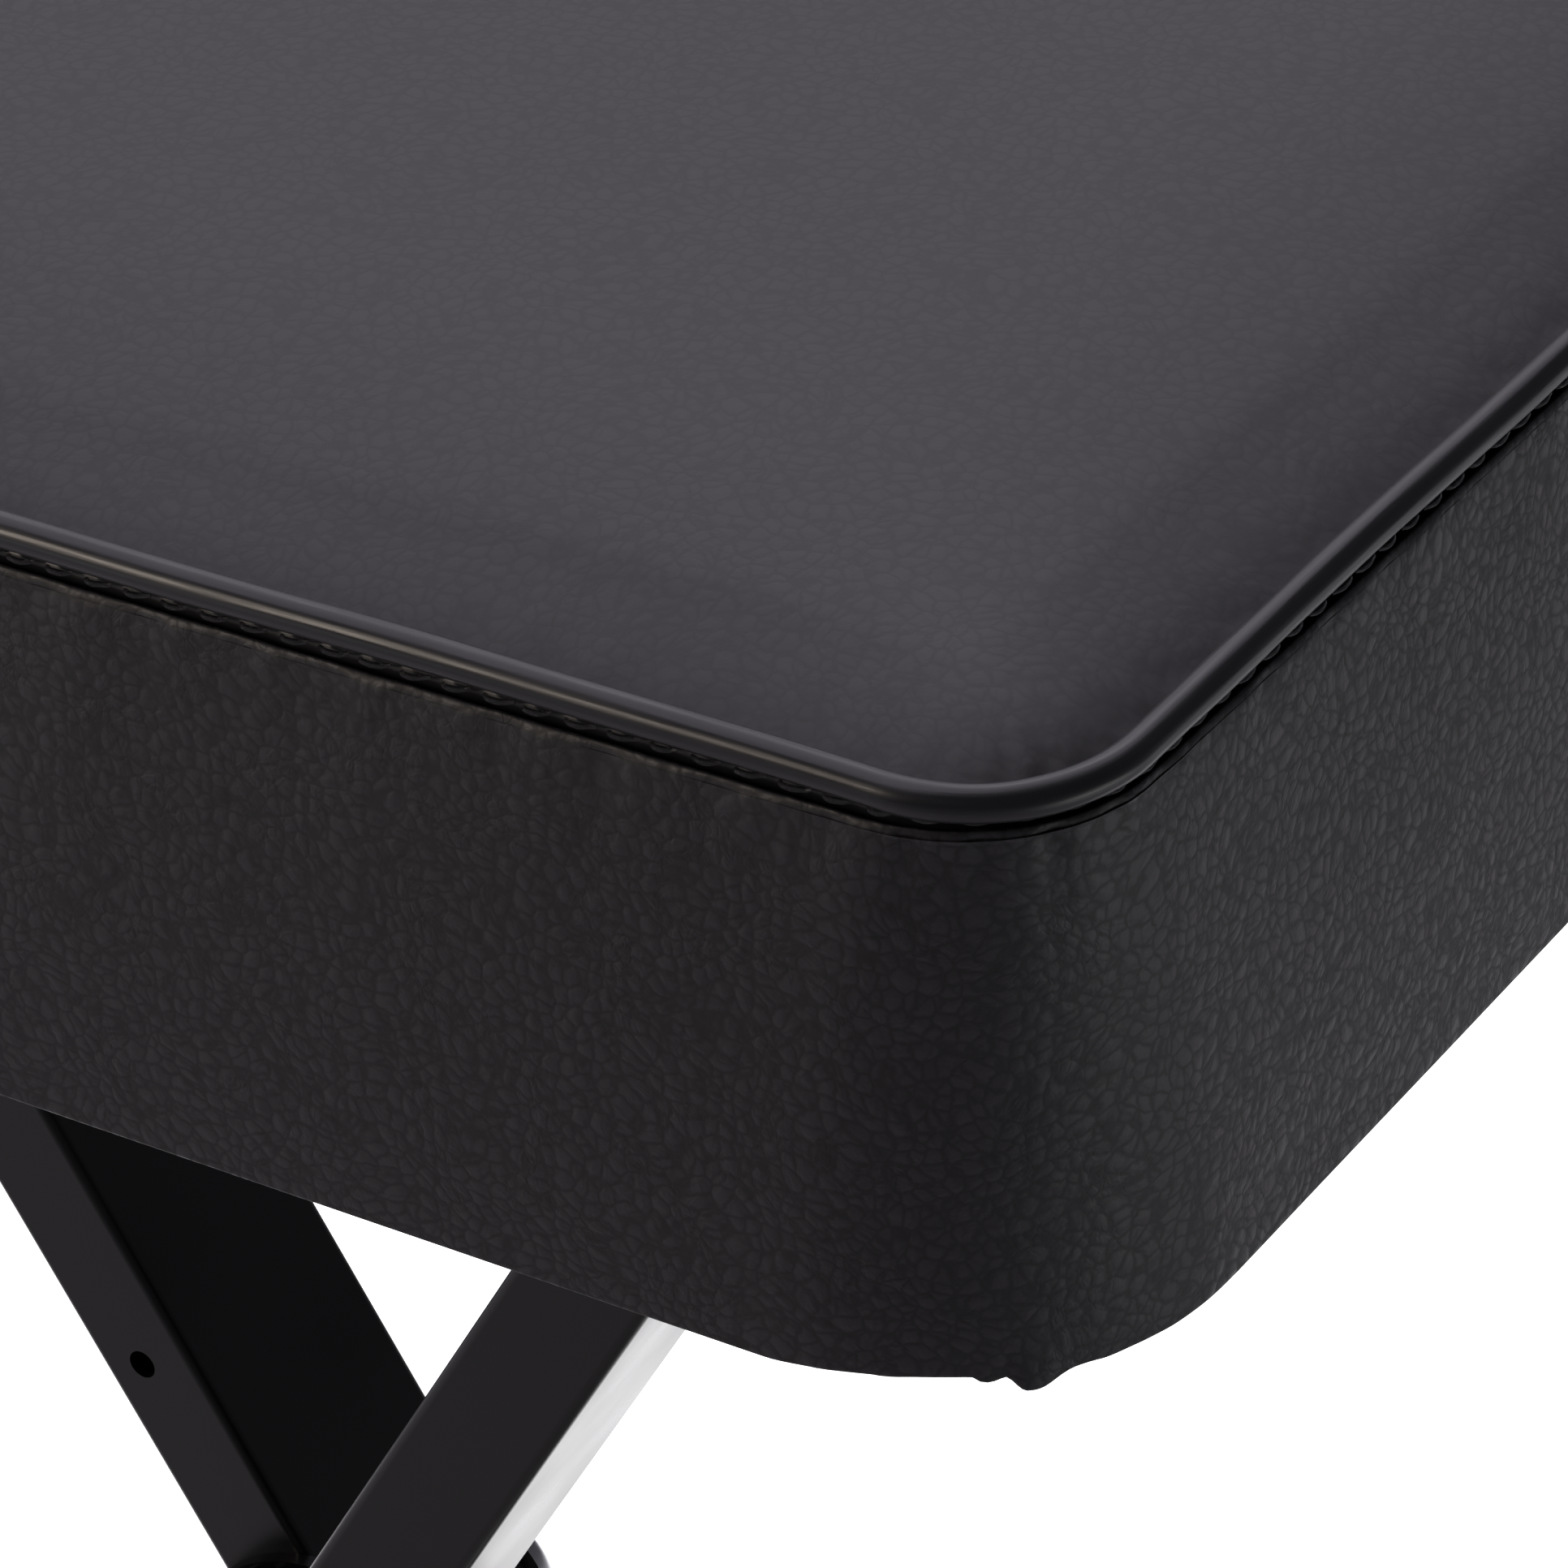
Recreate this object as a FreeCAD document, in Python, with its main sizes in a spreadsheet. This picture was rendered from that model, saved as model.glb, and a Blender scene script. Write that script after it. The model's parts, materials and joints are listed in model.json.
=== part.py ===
import FreeCAD, Part
import math
import os
import Sketcher
from FreeCAD import Placement, Rotation, Vector

# Folding keyboard bench: a padded seat on one pair of crossed legs.
# X runs along the seat, the front is at -Y, +Z is up, and the origin lies on the floor
# below the middle of the seat. All lengths are millimetres, and the legs stand at their
# steepest setting.

doc = FreeCAD.newDocument("KeyboardBench")
sheet = doc.addObject("Spreadsheet::Sheet", "Sizes")

sizeRows = [
    ("seatLength", 460, "seat, left to right, over the side band"),
    ("seatDepth", 300, "seat, front to back, over the side band"),
    ("seatCorner", 38, "corner radius of the seat in plan"),
    ("bandHeight", 77, "side band, from the hem to the seam"),
    ("crownHeight", 9, "rise of the top panel above the seam"),
    ("topRoll", 8, "radius where the top panel rolls into the seam"),
    ("coverSheet", 1.2, "leatherette thickness"),
    ("hemWidth", 32, "width of the cover's edge under the board"),
    ("boardSheet", 12, "plywood thickness"),
    ("dustSheet", 0.5, "non-woven sheet thickness"),
    ("dustOverlap", 14, "how far the dust sheet covers the hem"),
    ("pipingWide", 4.4, "welt cord diameter"),
    ("pipingProud", 1.5, "how far the welt cord stands out of the side band"),
    ("stapleCrown", 10, "staple width"),
    ("stapleWire", 0.9, "staple wire thickness"),
    ("stapleLeg", 7, "staple depth"),
    ("legAngle", 58.8, "legs above the floor, degrees"),
    ("upperArm", 240, "centre pivot to top pivot"),
    ("lowerArm", 260, "centre pivot to foot bar"),
    ("pivotDrop", 34, "top pivot line below the seat's underside"),
    ("legWide", 40, "leg tube, front to back"),
    ("legThin", 20, "leg tube, in the plane of the cross"),
    ("tubeCorner", 1.8, "outer corner radius of the rectangular tubes"),
    ("tubeWall", 1.5, "wall of the rectangular tubes"),
    ("legGap", 8, "space between the two legs"),
    ("ventHole", 5, "paint drain hole in the rear leg"),
    ("ventUp", 67, "drain hole above the centre pivot"),
    ("ventOff", 1.1, "drain hole below the leg's centre line"),
    ("barLength", 340, "foot bars, front to back"),
    ("barWide", 40, "foot bar, left to right"),
    ("barTall", 20, "foot bar height"),
    ("capWall", 3, "rubber boot wall"),
    ("capEnd", 4, "rubber boot end"),
    ("capLength", 46, "rubber boot length over the end"),
    ("capCorner", 4, "rubber boot edge radius"),
    ("crossTube", 25, "diameter of the round cross tubes"),
    ("crossWall", 1.5, "wall of the round cross tubes"),
    ("crossLength", 144, "length of the round cross tubes"),
    ("rodWide", 8, "diameter of the two rods"),
    ("runFit", 0.06, "radial clearance of a running fit"),
    ("bushFlange", 2, "thickness of the bush flanges"),
    ("bushFlangeWide", 22, "diameter of the bush flanges"),
    ("bushDeep", 14, "length of a bush inside its tube"),
    ("endPlay", 0.3, "side clearance between the bushes and the rails"),
    ("slideWide", 14, "diameter of the slide bushes"),
    ("slotFit", 0.35, "clearance on each side of the slide bushes"),
    ("railSheet", 3, "steel thickness of the rails"),
    ("railTall", 52, "height of the rails"),
    ("railFlange", 26, "width of the rails' upper flange"),
    ("railLeft", 222, "rail end left of the middle"),
    ("railRight", 158, "rail end right of the middle"),
    ("railNose", 8, "chamfer at the rails' lower corners"),
    ("screwPitch", 150, "distance between the rail screws"),
    ("screwWide", 6, "rail screw diameter"),
    ("screwHead", 11, "rail screw head diameter"),
    ("screwHeadTall", 3.2, "rail screw head height"),
    ("nutAcross", 13, "rod nut, across flats"),
    ("nutTall", 8, "rod nut height"),
    ("washerWide", 18, "rod washer diameter"),
    ("washerSheet", 1.6, "rod washer thickness"),
    ("tNutFlange", 19, "T-nut flange diameter"),
    ("tNutBarrel", 8, "T-nut barrel diameter"),
    ("tNutDeep", 9, "T-nut barrel length"),
    ("tNutSheet", 1.2, "T-nut flange thickness"),
    ("boltWide", 10, "pivot bolt diameter"),
    ("boltHead", 24, "pivot bolt head diameter"),
    ("boltHeadTall", 5, "pivot bolt head height"),
    ("sleeveWide", 14, "crush sleeve diameter, clear of the tube's inner corners"),
    ("clutchWide", 60, "toothed disc diameter"),
    ("clutchTooth", 1.2, "tooth height"),
    ("clutchToothWide", 2.4, "tooth width at its root"),
    ("clutchTeeth", 30, "teeth on each disc"),
    ("clutchLand", 30, "diameter of the plain land inside the teeth"),
    ("clutchClear", 0.3, "space between the tooth tips of the two discs"),
    ("clampWasher", 28, "clamp washer diameter"),
    ("clampWasherSheet", 2, "clamp washer thickness"),
    ("knobWide", 52, "hand knob diameter over its lobes"),
    ("knobTall", 15, "thickness of the knob's lobed head"),
    ("knobHub", 24, "knob hub diameter"),
    ("knobHubTall", 7, "knob hub height"),
    ("knobLobes", 6, "lobes on the knob"),
    ("knobScallop", 9, "radius of the hollows between the lobes"),
    ("knobRound", 3, "edge radius of the knob"),
    ("insertWide", 15, "threaded insert diameter"),
    ("insertTall", 14, "threaded insert length"),
    ("boltHoleFit", 0.1, "radial clearance of fixed bolts and rods in their holes"),
    ("seamFit", 0.05, "clearance of the welt cord to the panels"),
    ("staplePitchLong", 45, "staple spacing along the front and back"),
    ("staplePitchShort", 90, "staple spacing along the ends"),
]
for row, (alias, number, note) in enumerate(sizeRows, 1):
    sheet.set(f"A{row}", note)
    sheet.set(f"B{row}", str(number))
    sheet.setAlias(f"B{row}", alias)
doc.recompute()


def cell(words):
    """Expression text in which every alias points at the sheet."""
    aliases = {alias for alias, _, _ in sizeRows}
    parts = []
    word = ""
    for sign in words + " ":
        if sign.isalnum():
            word += sign
            continue
        parts.append("Sizes." + word if word in aliases else word)
        parts.append(sign)
        word = ""
    return "".join(parts).strip()


# Places that many pieces share, as expressions.
angle = "legAngle * 1 deg"
footHeight = "(capWall + barTall / 2)"
pivotHeight = f"({footHeight} + lowerArm * sin({angle}))"
topHeight = f"({pivotHeight} + upperArm * sin({angle}))"
topReach = f"(upperArm * cos({angle}))"
footReach = f"(lowerArm * cos({angle}))"
seatUnder = f"({topHeight} + pivotDrop)"
boardUnder = f"({seatUnder} + coverSheet)"
boardTop = f"({boardUnder} + boardSheet)"
seamHeight = f"({seatUnder} + bandHeight)"
legMiddle = "(legGap / 2 + legWide / 2)"
legOuter = "(legGap / 2 + legWide)"
railInner = "(crossLength / 2 + bushFlange + endPlay)"
railOuter = f"({railInner} + railSheet)"
railTop = f"({seatUnder} - dustSheet)"
screwLine = f"({railInner} - railFlange / 2 + railSheet / 2)"
parts = []


def bind(item, **expressions):
    """Ties properties to the sheet. Two underscores stand for a dot."""
    for name, words in expressions.items():
        item.setExpression(name.replace("__", "."), cell(words))
    return item


def put(item, x="0", y="0", z="0"):
    """Places a piece by expressions."""
    for axis, words in zip("xyz", (x, y, z)):
        if words != "0":
            item.setExpression(f".Placement.Base.{axis}", cell(words))
    return item


def turn(item, axis, words):
    """Turns a piece about an axis by an angle in degrees."""
    item.Placement = Placement(item.Placement.Base, Rotation(axis, 1))
    item.setExpression(".Placement.Rotation.Angle", cell(words))
    return item


def keep(item, label):
    """Names a finished piece."""
    item.Label = label
    parts.append(item)
    return item


def newBody(name):
    return doc.addObject("PartDesign::Body", name)


def sketchOn(body, role, name, offset=None):
    """Sketch on one of the body's own origin planes."""
    sketch = body.newObject("Sketcher::SketchObject", name)
    plane = next(f for f in body.Origin.OriginFeatures if f.Role == role)
    sketch.AttachmentSupport = (plane, [""])
    sketch.MapMode = "FlatFace"
    if offset:
        sketch.setExpression(".AttachmentOffset.Base.z", cell(offset))
    return sketch


def value(words):
    """Present value of an expression."""
    return float(sheet.evalExpression(cell(words)))


def nameConstraint(sketch, label, words, *constraint):
    """Adds a dimension to a sketch and ties it to the sheet."""
    index = sketch.addConstraint(Sketcher.Constraint(*constraint, value(words)))
    sketch.renameConstraint(index, label)
    sketch.setExpression(f"Constraints.{label}", cell(words))


def rectangle(sketch, wide, tall, left=None, low=None):
    """Rectangle about the sketch's origin, or from a corner given by expressions."""
    left = left or f"-({wide}) / 2"
    low = low or f"-({tall}) / 2"
    x, y = value(left), value(low)
    dx, dy = value(wide), value(tall)
    corners = [Vector(x, y, 0), Vector(x + dx, y, 0), Vector(x + dx, y + dy, 0), Vector(x, y + dy, 0)]
    first = sketch.GeometryCount
    for i in range(4):
        sketch.addGeometry(Part.LineSegment(corners[i], corners[(i + 1) % 4]), False)
    for i in range(4):
        sketch.addConstraint(Sketcher.Constraint("Coincident", first + i, 2, first + (i + 1) % 4, 1))
    for i, kind in enumerate(("Horizontal", "Vertical", "Horizontal", "Vertical")):
        sketch.addConstraint(Sketcher.Constraint(kind, first + i))
    nameConstraint(sketch, f"wide{first}", wide, "DistanceX", first, 1, first, 2)
    nameConstraint(sketch, f"tall{first}", tall, "DistanceY", first + 1, 1, first + 1, 2)
    nameConstraint(sketch, f"left{first}", left, "DistanceX", -1, 1, first, 1)
    nameConstraint(sketch, f"low{first}", low, "DistanceY", -1, 1, first, 1)


def roundedRectangle(sketch, wide, tall, radius):
    """Rectangle with round corners about the sketch's origin."""
    x, y, r = value(wide) / 2, value(tall) / 2, value(radius)
    first = sketch.GeometryCount
    turns = [(x - r, -y + r, -90), (x - r, y - r, 0), (-x + r, y - r, 90), (-x + r, -y + r, 180)]
    starts = [Vector(-x + r, -y, 0), Vector(x, -y + r, 0), Vector(x - r, y, 0), Vector(-x, y - r, 0)]
    ends = [Vector(x - r, -y, 0), Vector(x, y - r, 0), Vector(-x + r, y, 0), Vector(-x, -y + r, 0)]
    for begin, end, (cx, cy, from_) in zip(starts, ends, turns):
        sketch.addGeometry(Part.LineSegment(begin, end), False)
        round_ = Part.Circle(Vector(cx, cy, 0), Vector(0, 0, 1), r)
        sketch.addGeometry(Part.ArcOfCircle(round_, math.radians(from_), math.radians(from_ + 90)), False)
    for i in range(4):
        line, arc = first + 2 * i, first + 2 * i + 1
        following = first + (2 * i + 2) % 8
        sketch.addConstraint(Sketcher.Constraint("Tangent", line, 2, arc, 1))
        sketch.addConstraint(Sketcher.Constraint("Tangent", arc, 2, following, 1))
        sketch.addConstraint(Sketcher.Constraint("Horizontal" if i % 2 == 0 else "Vertical", line))
        if i:
            sketch.addConstraint(Sketcher.Constraint("Equal", first + 1, arc))
    nameConstraint(sketch, f"radius{first}", radius, "Radius", first + 1)
    nameConstraint(sketch, f"right{first}", f"({wide}) / 2", "DistanceX", -1, 1, first + 2, 1)
    nameConstraint(sketch, f"left{first}", f"-({wide}) / 2", "DistanceX", -1, 1, first + 6, 1)
    nameConstraint(sketch, f"back{first}", f"({tall}) / 2", "DistanceY", -1, 1, first + 4, 1)
    nameConstraint(sketch, f"front{first}", f"-({tall}) / 2", "DistanceY", -1, 1, first, 1)


def circle(sketch, wide, x="0", y="0"):
    """Circle with its diameter and centre given by expressions."""
    first = sketch.GeometryCount
    sketch.addGeometry(Part.Circle(Vector(value(x), value(y), 0), Vector(0, 0, 1), value(wide) / 2), False)
    nameConstraint(sketch, f"across{first}", wide, "Diameter", first)
    nameConstraint(sketch, f"centreX{first}", x, "DistanceX", -1, 1, first, 3)
    nameConstraint(sketch, f"centreY{first}", y, "DistanceY", -1, 1, first, 3)


def outline(sketch, points):
    """Closed outline through points given by pairs of expressions."""
    first = sketch.GeometryCount
    corners = [Vector(value(x), value(y), 0) for x, y in points]
    count = len(corners)
    for i in range(count):
        sketch.addGeometry(Part.LineSegment(corners[i], corners[(i + 1) % count]), False)
    for i in range(count):
        sketch.addConstraint(Sketcher.Constraint("Coincident", first + i, 2, first + (i + 1) % count, 1))
    for i, (x, y) in enumerate(points):
        nameConstraint(sketch, f"pointX{first + i}", x, "DistanceX", -1, 1, first + i, 1)
        nameConstraint(sketch, f"pointY{first + i}", y, "DistanceY", -1, 1, first + i, 1)


def pad(body, sketch, name, length, both=False):
    feature = body.newObject("PartDesign::Pad", name)
    feature.Profile = sketch
    feature.SideType = "Symmetric" if both else "One side"
    return bind(feature, Length=length)


def pocket(body, sketch, name, length=None, both=False, flip=False):
    """Cut of a given depth, or through everything."""
    feature = body.newObject("PartDesign::Pocket", name)
    feature.Profile = sketch
    feature.SideType = "Symmetric" if both else "One side"
    feature.Reversed = flip
    if length:
        return bind(feature, Length=length)
    feature.Type = "ThroughAll"
    return feature


def edgesAlong(shape, direction, where=None):
    """Names of the straight edges that run along a direction, all or those at some places."""
    names = []
    for i, edge in enumerate(shape.Edges, 1):
        if edge.Curve.TypeId != "Part::GeomLine" or abs(edge.Curve.Direction.dot(direction)) < 0.999:
            continue
        if where is None or where(edge.CenterOfMass):
            names.append(f"Edge{i}")
    return names


def facesAlong(shape, direction):
    """Names of the flat faces that look along a direction, either way."""
    names = []
    for i, face in enumerate(shape.Faces, 1):
        if face.Surface.TypeId == "Part::GeomPlane" and abs(face.normalAt(0, 0).dot(direction)) > 0.999:
            names.append(f"Face{i}")
    return names


def topEdges(shape):
    """Names of the edges round the highest flat face."""
    high = shape.BoundBox.ZMax - 0.01
    return [f"Edge{i}" for i, edge in enumerate(shape.Edges, 1) if edge.BoundBox.ZMin > high]


def roundEdges(body, base, names, radius, name):
    feature = body.newObject("PartDesign::Fillet", name)
    feature.Base = (base, names)
    return bind(feature, Radius=radius)


def squareTube(name, role, direction, wide, tall, length, start):
    """Rectangular steel tube with rounded corners and open ends."""
    body = newBody(name)
    sketch = sketchOn(body, role, name + "Section", start)
    rectangle(sketch, wide, tall)
    solid = pad(body, sketch, name + "Blank", length)
    doc.recompute()
    rounded = roundEdges(body, solid, edgesAlong(solid.Shape, direction), "tubeCorner", name + "Corners")
    doc.recompute()
    hollow = body.newObject("PartDesign::Thickness", name + "Hollow")
    hollow.Base = (rounded, facesAlong(rounded.Shape, direction))
    hollow.Reversed = True
    bind(hollow, Value="tubeWall")
    doc.recompute()
    return body


def cylinder(name, wide, tall):
    """Upright cylinder from its diameter and height."""
    return bind(doc.addObject("Part::Cylinder", name), Radius=f"({wide}) / 2", Height=tall)


def cut(name, base, tool):
    feature = doc.addObject("Part::Cut", name)
    feature.Base = base
    feature.Tool = tool
    return feature


def fuse(name, shapes):
    feature = doc.addObject("Part::MultiFuse", name)
    feature.Shapes = shapes
    return feature


def ring(name, wide, hole, tall, low="0"):
    """Plain ring or washer that stands on its local origin, or at a height."""
    outer = put(cylinder(name + "Outer", wide, tall), z=low)
    inner = put(cylinder(name + "Bore", hole, tall), z=low)
    return cut(name, outer, inner)


def group(name, items):
    """Identical pieces in one node, as separate solids."""
    compound = doc.addObject("Part::Compound", name)
    compound.Links = items
    return keep(compound, name)


def lay(item, side, x, y, z):
    """Lays an upright piece along Y: side 1 points it to the back, side -1 to the front."""
    item.Placement = Placement(Vector(0, 0, 0), Rotation(Vector(1, 0, 0), -90 * side))
    return put(item, x, y, z)


# Seat: board, T-nuts, foam, cover, welt cord, dust sheet and staples.

seatOutline = ("seatLength", "seatDepth", "seatCorner")


def inset(by):
    """Seat outline drawn in by an expression: length, depth and corner radius."""
    return (f"seatLength - 2 * ({by})", f"seatDepth - 2 * ({by})", f"seatCorner - ({by})")


def slab(name, by, tall, hole=None):
    """Flat piece with the seat's outline drawn in, with or without an opening."""
    body = newBody(name)
    sketch = sketchOn(body, "XY_Plane", name + "Outline")
    roundedRectangle(sketch, *inset(by))
    if hole:
        roundedRectangle(sketch, *inset(hole))
    pad(body, sketch, name + "Sheet", tall)
    doc.recompute()
    return body


def drill(body, name, wide, places, length=None, offset=None, flip=False):
    """Round holes at several places, down from above."""
    sketch = sketchOn(body, "XY_Plane", name + "Places", offset)
    for x, y in places:
        circle(sketch, wide, x, y)
    pocket(body, sketch, name, length, both=length is None, flip=flip)


screwPlaces = []
for side in (-1, 1):
    for step in (-1, 0, 1):
        screwPlaces.append((f"(railRight - railLeft) / 2 + {step} * screwPitch", f"{side} * {screwLine}"))

board = slab("Board", "coverSheet", "boardSheet")
drill(board, "BoardHoles", "tNutBarrel", screwPlaces)
drill(board, "BoardRecesses", "tNutFlange", screwPlaces, "tNutSheet", "boardSheet")
keep(put(board, z=boardUnder), "seat_board")

tNuts = []
for i, (x, y) in enumerate(screwPlaces):
    flange = put(cylinder(f"TNutFlange{i}", "tNutFlange", "tNutSheet"), z=f"{boardTop} - tNutSheet")
    barrel = put(cylinder(f"TNutBarrel{i}", "tNutBarrel", "tNutDeep"), z=f"{boardTop} - tNutDeep")
    bore = put(cylinder(f"TNutBore{i}", "screwWide", "tNutDeep"), z=f"{boardTop} - tNutDeep")
    tNuts.append(put(cut(f"TNut{i}", fuse(f"TNutBlank{i}", [flange, barrel]), bore), x, y))
group("board_t_nuts", tNuts)

panelInset = "(pipingWide - pipingProud + seamFit)"
foam = newBody("Foam")
lower = sketchOn(foam, "XY_Plane", "FoamLower")
roundedRectangle(lower, *inset("coverSheet"))
pad(foam, lower, "FoamBlock", "bandHeight - coverSheet - boardSheet")
upper = sketchOn(foam, "XY_Plane", "FoamUpper", "bandHeight - coverSheet - boardSheet")
roundedRectangle(upper, *inset(f"{panelInset} + coverSheet"))
foamCrown = pad(foam, upper, "FoamCrown", "crownHeight - coverSheet")
doc.recompute()
roundEdges(foam, foamCrown, topEdges(foamCrown.Shape), "topRoll - coverSheet", "FoamRoll")
doc.recompute()
keep(put(foam, z=boardTop), "seat_foam")

panel = slab("TopPanel", panelInset, "crownHeight")
panelBlank = panel.Tip
panelRoll = roundEdges(panel, panelBlank, topEdges(panelBlank.Shape), "topRoll", "TopPanelRoll")
doc.recompute()
panelShell = panel.newObject("PartDesign::Thickness", "TopPanelSkin")
panelLow = [f"Face{i}" for i, face in enumerate(panelRoll.Shape.Faces, 1)
            if face.BoundBox.ZMax < 0.01]
panelShell.Base = (panelRoll, panelLow)
panelShell.Reversed = True
bind(panelShell, Value="coverSheet")
doc.recompute()
keep(put(panel, z=seamHeight), "seat_top_panel")

keep(put(slab("Boxing", "0", "bandHeight", "coverSheet"), z=seatUnder), "seat_boxing")
keep(put(slab("Hem", "coverSheet", "coverSheet", "hemWidth"), z=seatUnder), "cover_hem")

dust = slab("DustCover", "hemWidth - dustOverlap", "dustSheet")
drill(dust, "DustHoles", "screwWide + 2 * boltHoleFit", screwPlaces)
keep(put(dust, z=f"{seatUnder} - dustSheet"), "dust_cover")

piping = newBody("Piping")
pipingPath = sketchOn(piping, "XY_Plane", "PipingPath")
roundedRectangle(pipingPath, *inset("pipingWide / 2 - pipingProud"))
pipingSection = sketchOn(piping, "YZ_Plane", "PipingSection")
circle(pipingSection, "pipingWide", "-(seatDepth / 2 - pipingWide / 2 + pipingProud)")
doc.recompute()
pipe = piping.newObject("PartDesign::AdditivePipe", "PipingCord")
pipe.Profile = pipingSection
pipe.Spine = (pipingPath, [])
doc.recompute()
keep(put(piping, z=f"{seamHeight} + pipingWide / 2 + seamFit"), "seat_piping")

staples = []
stapleInset = "(hemWidth - dustOverlap / 2)"
staplePlaces = []
for side in (-1, 1):
    for step in range(-4, 5):
        staplePlaces.append((f"{step} * staplePitchLong", f"{side} * (seatDepth / 2 - {stapleInset})", 0))
    for step in (-1, 0, 1):
        staplePlaces.append((f"{side} * (seatLength / 2 - {stapleInset})", f"{step} * staplePitchShort", 90))
for i, (x, y, about) in enumerate(staplePlaces):
    crown = bind(doc.addObject("Part::Box", f"StapleCrown{i}"),
                 Length="stapleCrown", Width="stapleWire", Height="stapleWire")
    put(crown, "-stapleCrown / 2", "-stapleWire / 2")
    legs = []
    for side in (-1, 1):
        leg = bind(doc.addObject("Part::Box", f"StapleLeg{i}"),
                   Length="stapleWire", Width="stapleWire", Height="stapleLeg")
        legs.append(put(leg, f"{side} * (stapleCrown - stapleWire) / 2 - stapleWire / 2", "-stapleWire / 2"))
    staple = fuse(f"Staple{i}", [crown] + legs)
    staple.Placement = Placement(Vector(0, 0, 0), Rotation(Vector(0, 0, 1), about))
    staples.append(put(staple, x, y, f"{seatUnder} - dustSheet - stapleWire"))
group("cover_staples", staples)


# Rails under the seat, their screws and the hinge rod.

rail = newBody("Rail")
section = sketchOn(rail, "YZ_Plane", "RailSection", "-railLeft")
outline(section, [
    (railInner, f"{railTop} - {topHeight} - railTall"),
    (railOuter, f"{railTop} - {topHeight} - railTall"),
    (railOuter, f"{railTop} - {topHeight}"),
    (f"{railOuter} - railFlange", f"{railTop} - {topHeight}"),
    (f"{railOuter} - railFlange", f"{railTop} - {topHeight} - railSheet"),
    (railInner, f"{railTop} - {topHeight} - railSheet"),
])
railBar = pad(rail, section, "RailBar", "railLeft + railRight")
doc.recompute()
bend = edgesAlong(railBar.Shape, Vector(1, 0, 0),
                  lambda p: p.y > value(railOuter) - 0.01 and p.z > value("0.1"))
railBend = roundEdges(rail, railBar, bend, "railSheet * 0.9", "RailBend")
doc.recompute()
nose = rail.newObject("PartDesign::Chamfer", "RailNose")
nose.Base = (railBend, edgesAlong(railBend.Shape, Vector(0, 1, 0), lambda p: p.z < value("-0.1")))
bind(nose, Size="railNose")
doc.recompute()
hingeHole = sketchOn(rail, "XZ_Plane", "RailHingePlace")
circle(hingeHole, "rodWide + 2 * boltHoleFit", topReach)
pocket(rail, hingeHole, "RailHingeHole", both=True)
slotEnd = sketchOn(rail, "XZ_Plane", "RailSlotEndPlace")
circle(slotEnd, "slideWide + 2 * slotFit", f"-{topReach}")
pocket(rail, slotEnd, "RailSlotEnd", both=True)
slot = sketchOn(rail, "XZ_Plane", "RailSlotPlace")
rectangle(slot, f"railLeft - {topReach} + railSheet", "slideWide + 2 * slotFit", "-railLeft - railSheet")
pocket(rail, slot, "RailSlot", both=True)
drill(rail, "RailScrewHoles", "screwWide + 2 * boltHoleFit",
      [place for place in screwPlaces if not place[1].startswith("-1")])
keep(put(rail, z=topHeight), "rear_rail")

mirrored = doc.addObject("Part::Mirroring", "FrontRail")
mirrored.Source = rail
mirrored.Normal = Vector(0, 1, 0)
keep(mirrored, "front_rail")

screws = []
for i, (x, y) in enumerate(screwPlaces):
    head = put(cylinder(f"ScrewHead{i}", "screwHead", "screwHeadTall"), z="-screwHeadTall")
    shank = cylinder(f"ScrewShank{i}", "screwWide", "railSheet + dustSheet + coverSheet + boardSheet")
    screws.append(put(fuse(f"Screw{i}", [head, shank]), x, y, f"{railTop} - railSheet"))
group("rail_screws", screws)


def rod(name, label, x):
    """Steel rod through both rails."""
    half = f"({railOuter} + washerSheet + nutTall + railSheet / 2)"
    bar = cylinder(name, "rodWide", f"2 * {half}")
    keep(lay(bar, 1, x, f"-{half}", topHeight), label)


def rodEnds(name, x, start, washer, washerLabel, nutLabel):
    """Washers and lock nuts on both ends of a rod, from a distance off the middle."""
    washers = []
    nuts = []
    for side in (-1, 1):
        plate = ring(f"{name}Washer{side + 1}", washer, "rodWide + 2 * boltHoleFit", "washerSheet")
        washers.append(lay(plate, side, x, f"{side} * {start}", topHeight))
        blank = bind(doc.addObject("Part::Prism", f"{name}NutBlank{side + 1}"),
                     Circumradius="nutAcross / 2 / cos(30 deg)", Height="nutTall")
        nut = cut(f"{name}Nut{side + 1}", blank, cylinder(f"{name}NutBore{side + 1}", "rodWide", "nutTall"))
        nuts.append(lay(nut, side, x, f"{side} * ({start} + washerSheet)", topHeight))
    group(washerLabel, washers)
    group(nutLabel, nuts)


rod("HingeRod", "hinge_rod", topReach)
rodEnds("Hinge", topReach, railOuter, "washerWide", "hinge_washers", "hinge_nuts")


# Legs. side 1 is the front leg, which leans to the right, and side -1 is the rear leg.

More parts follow.
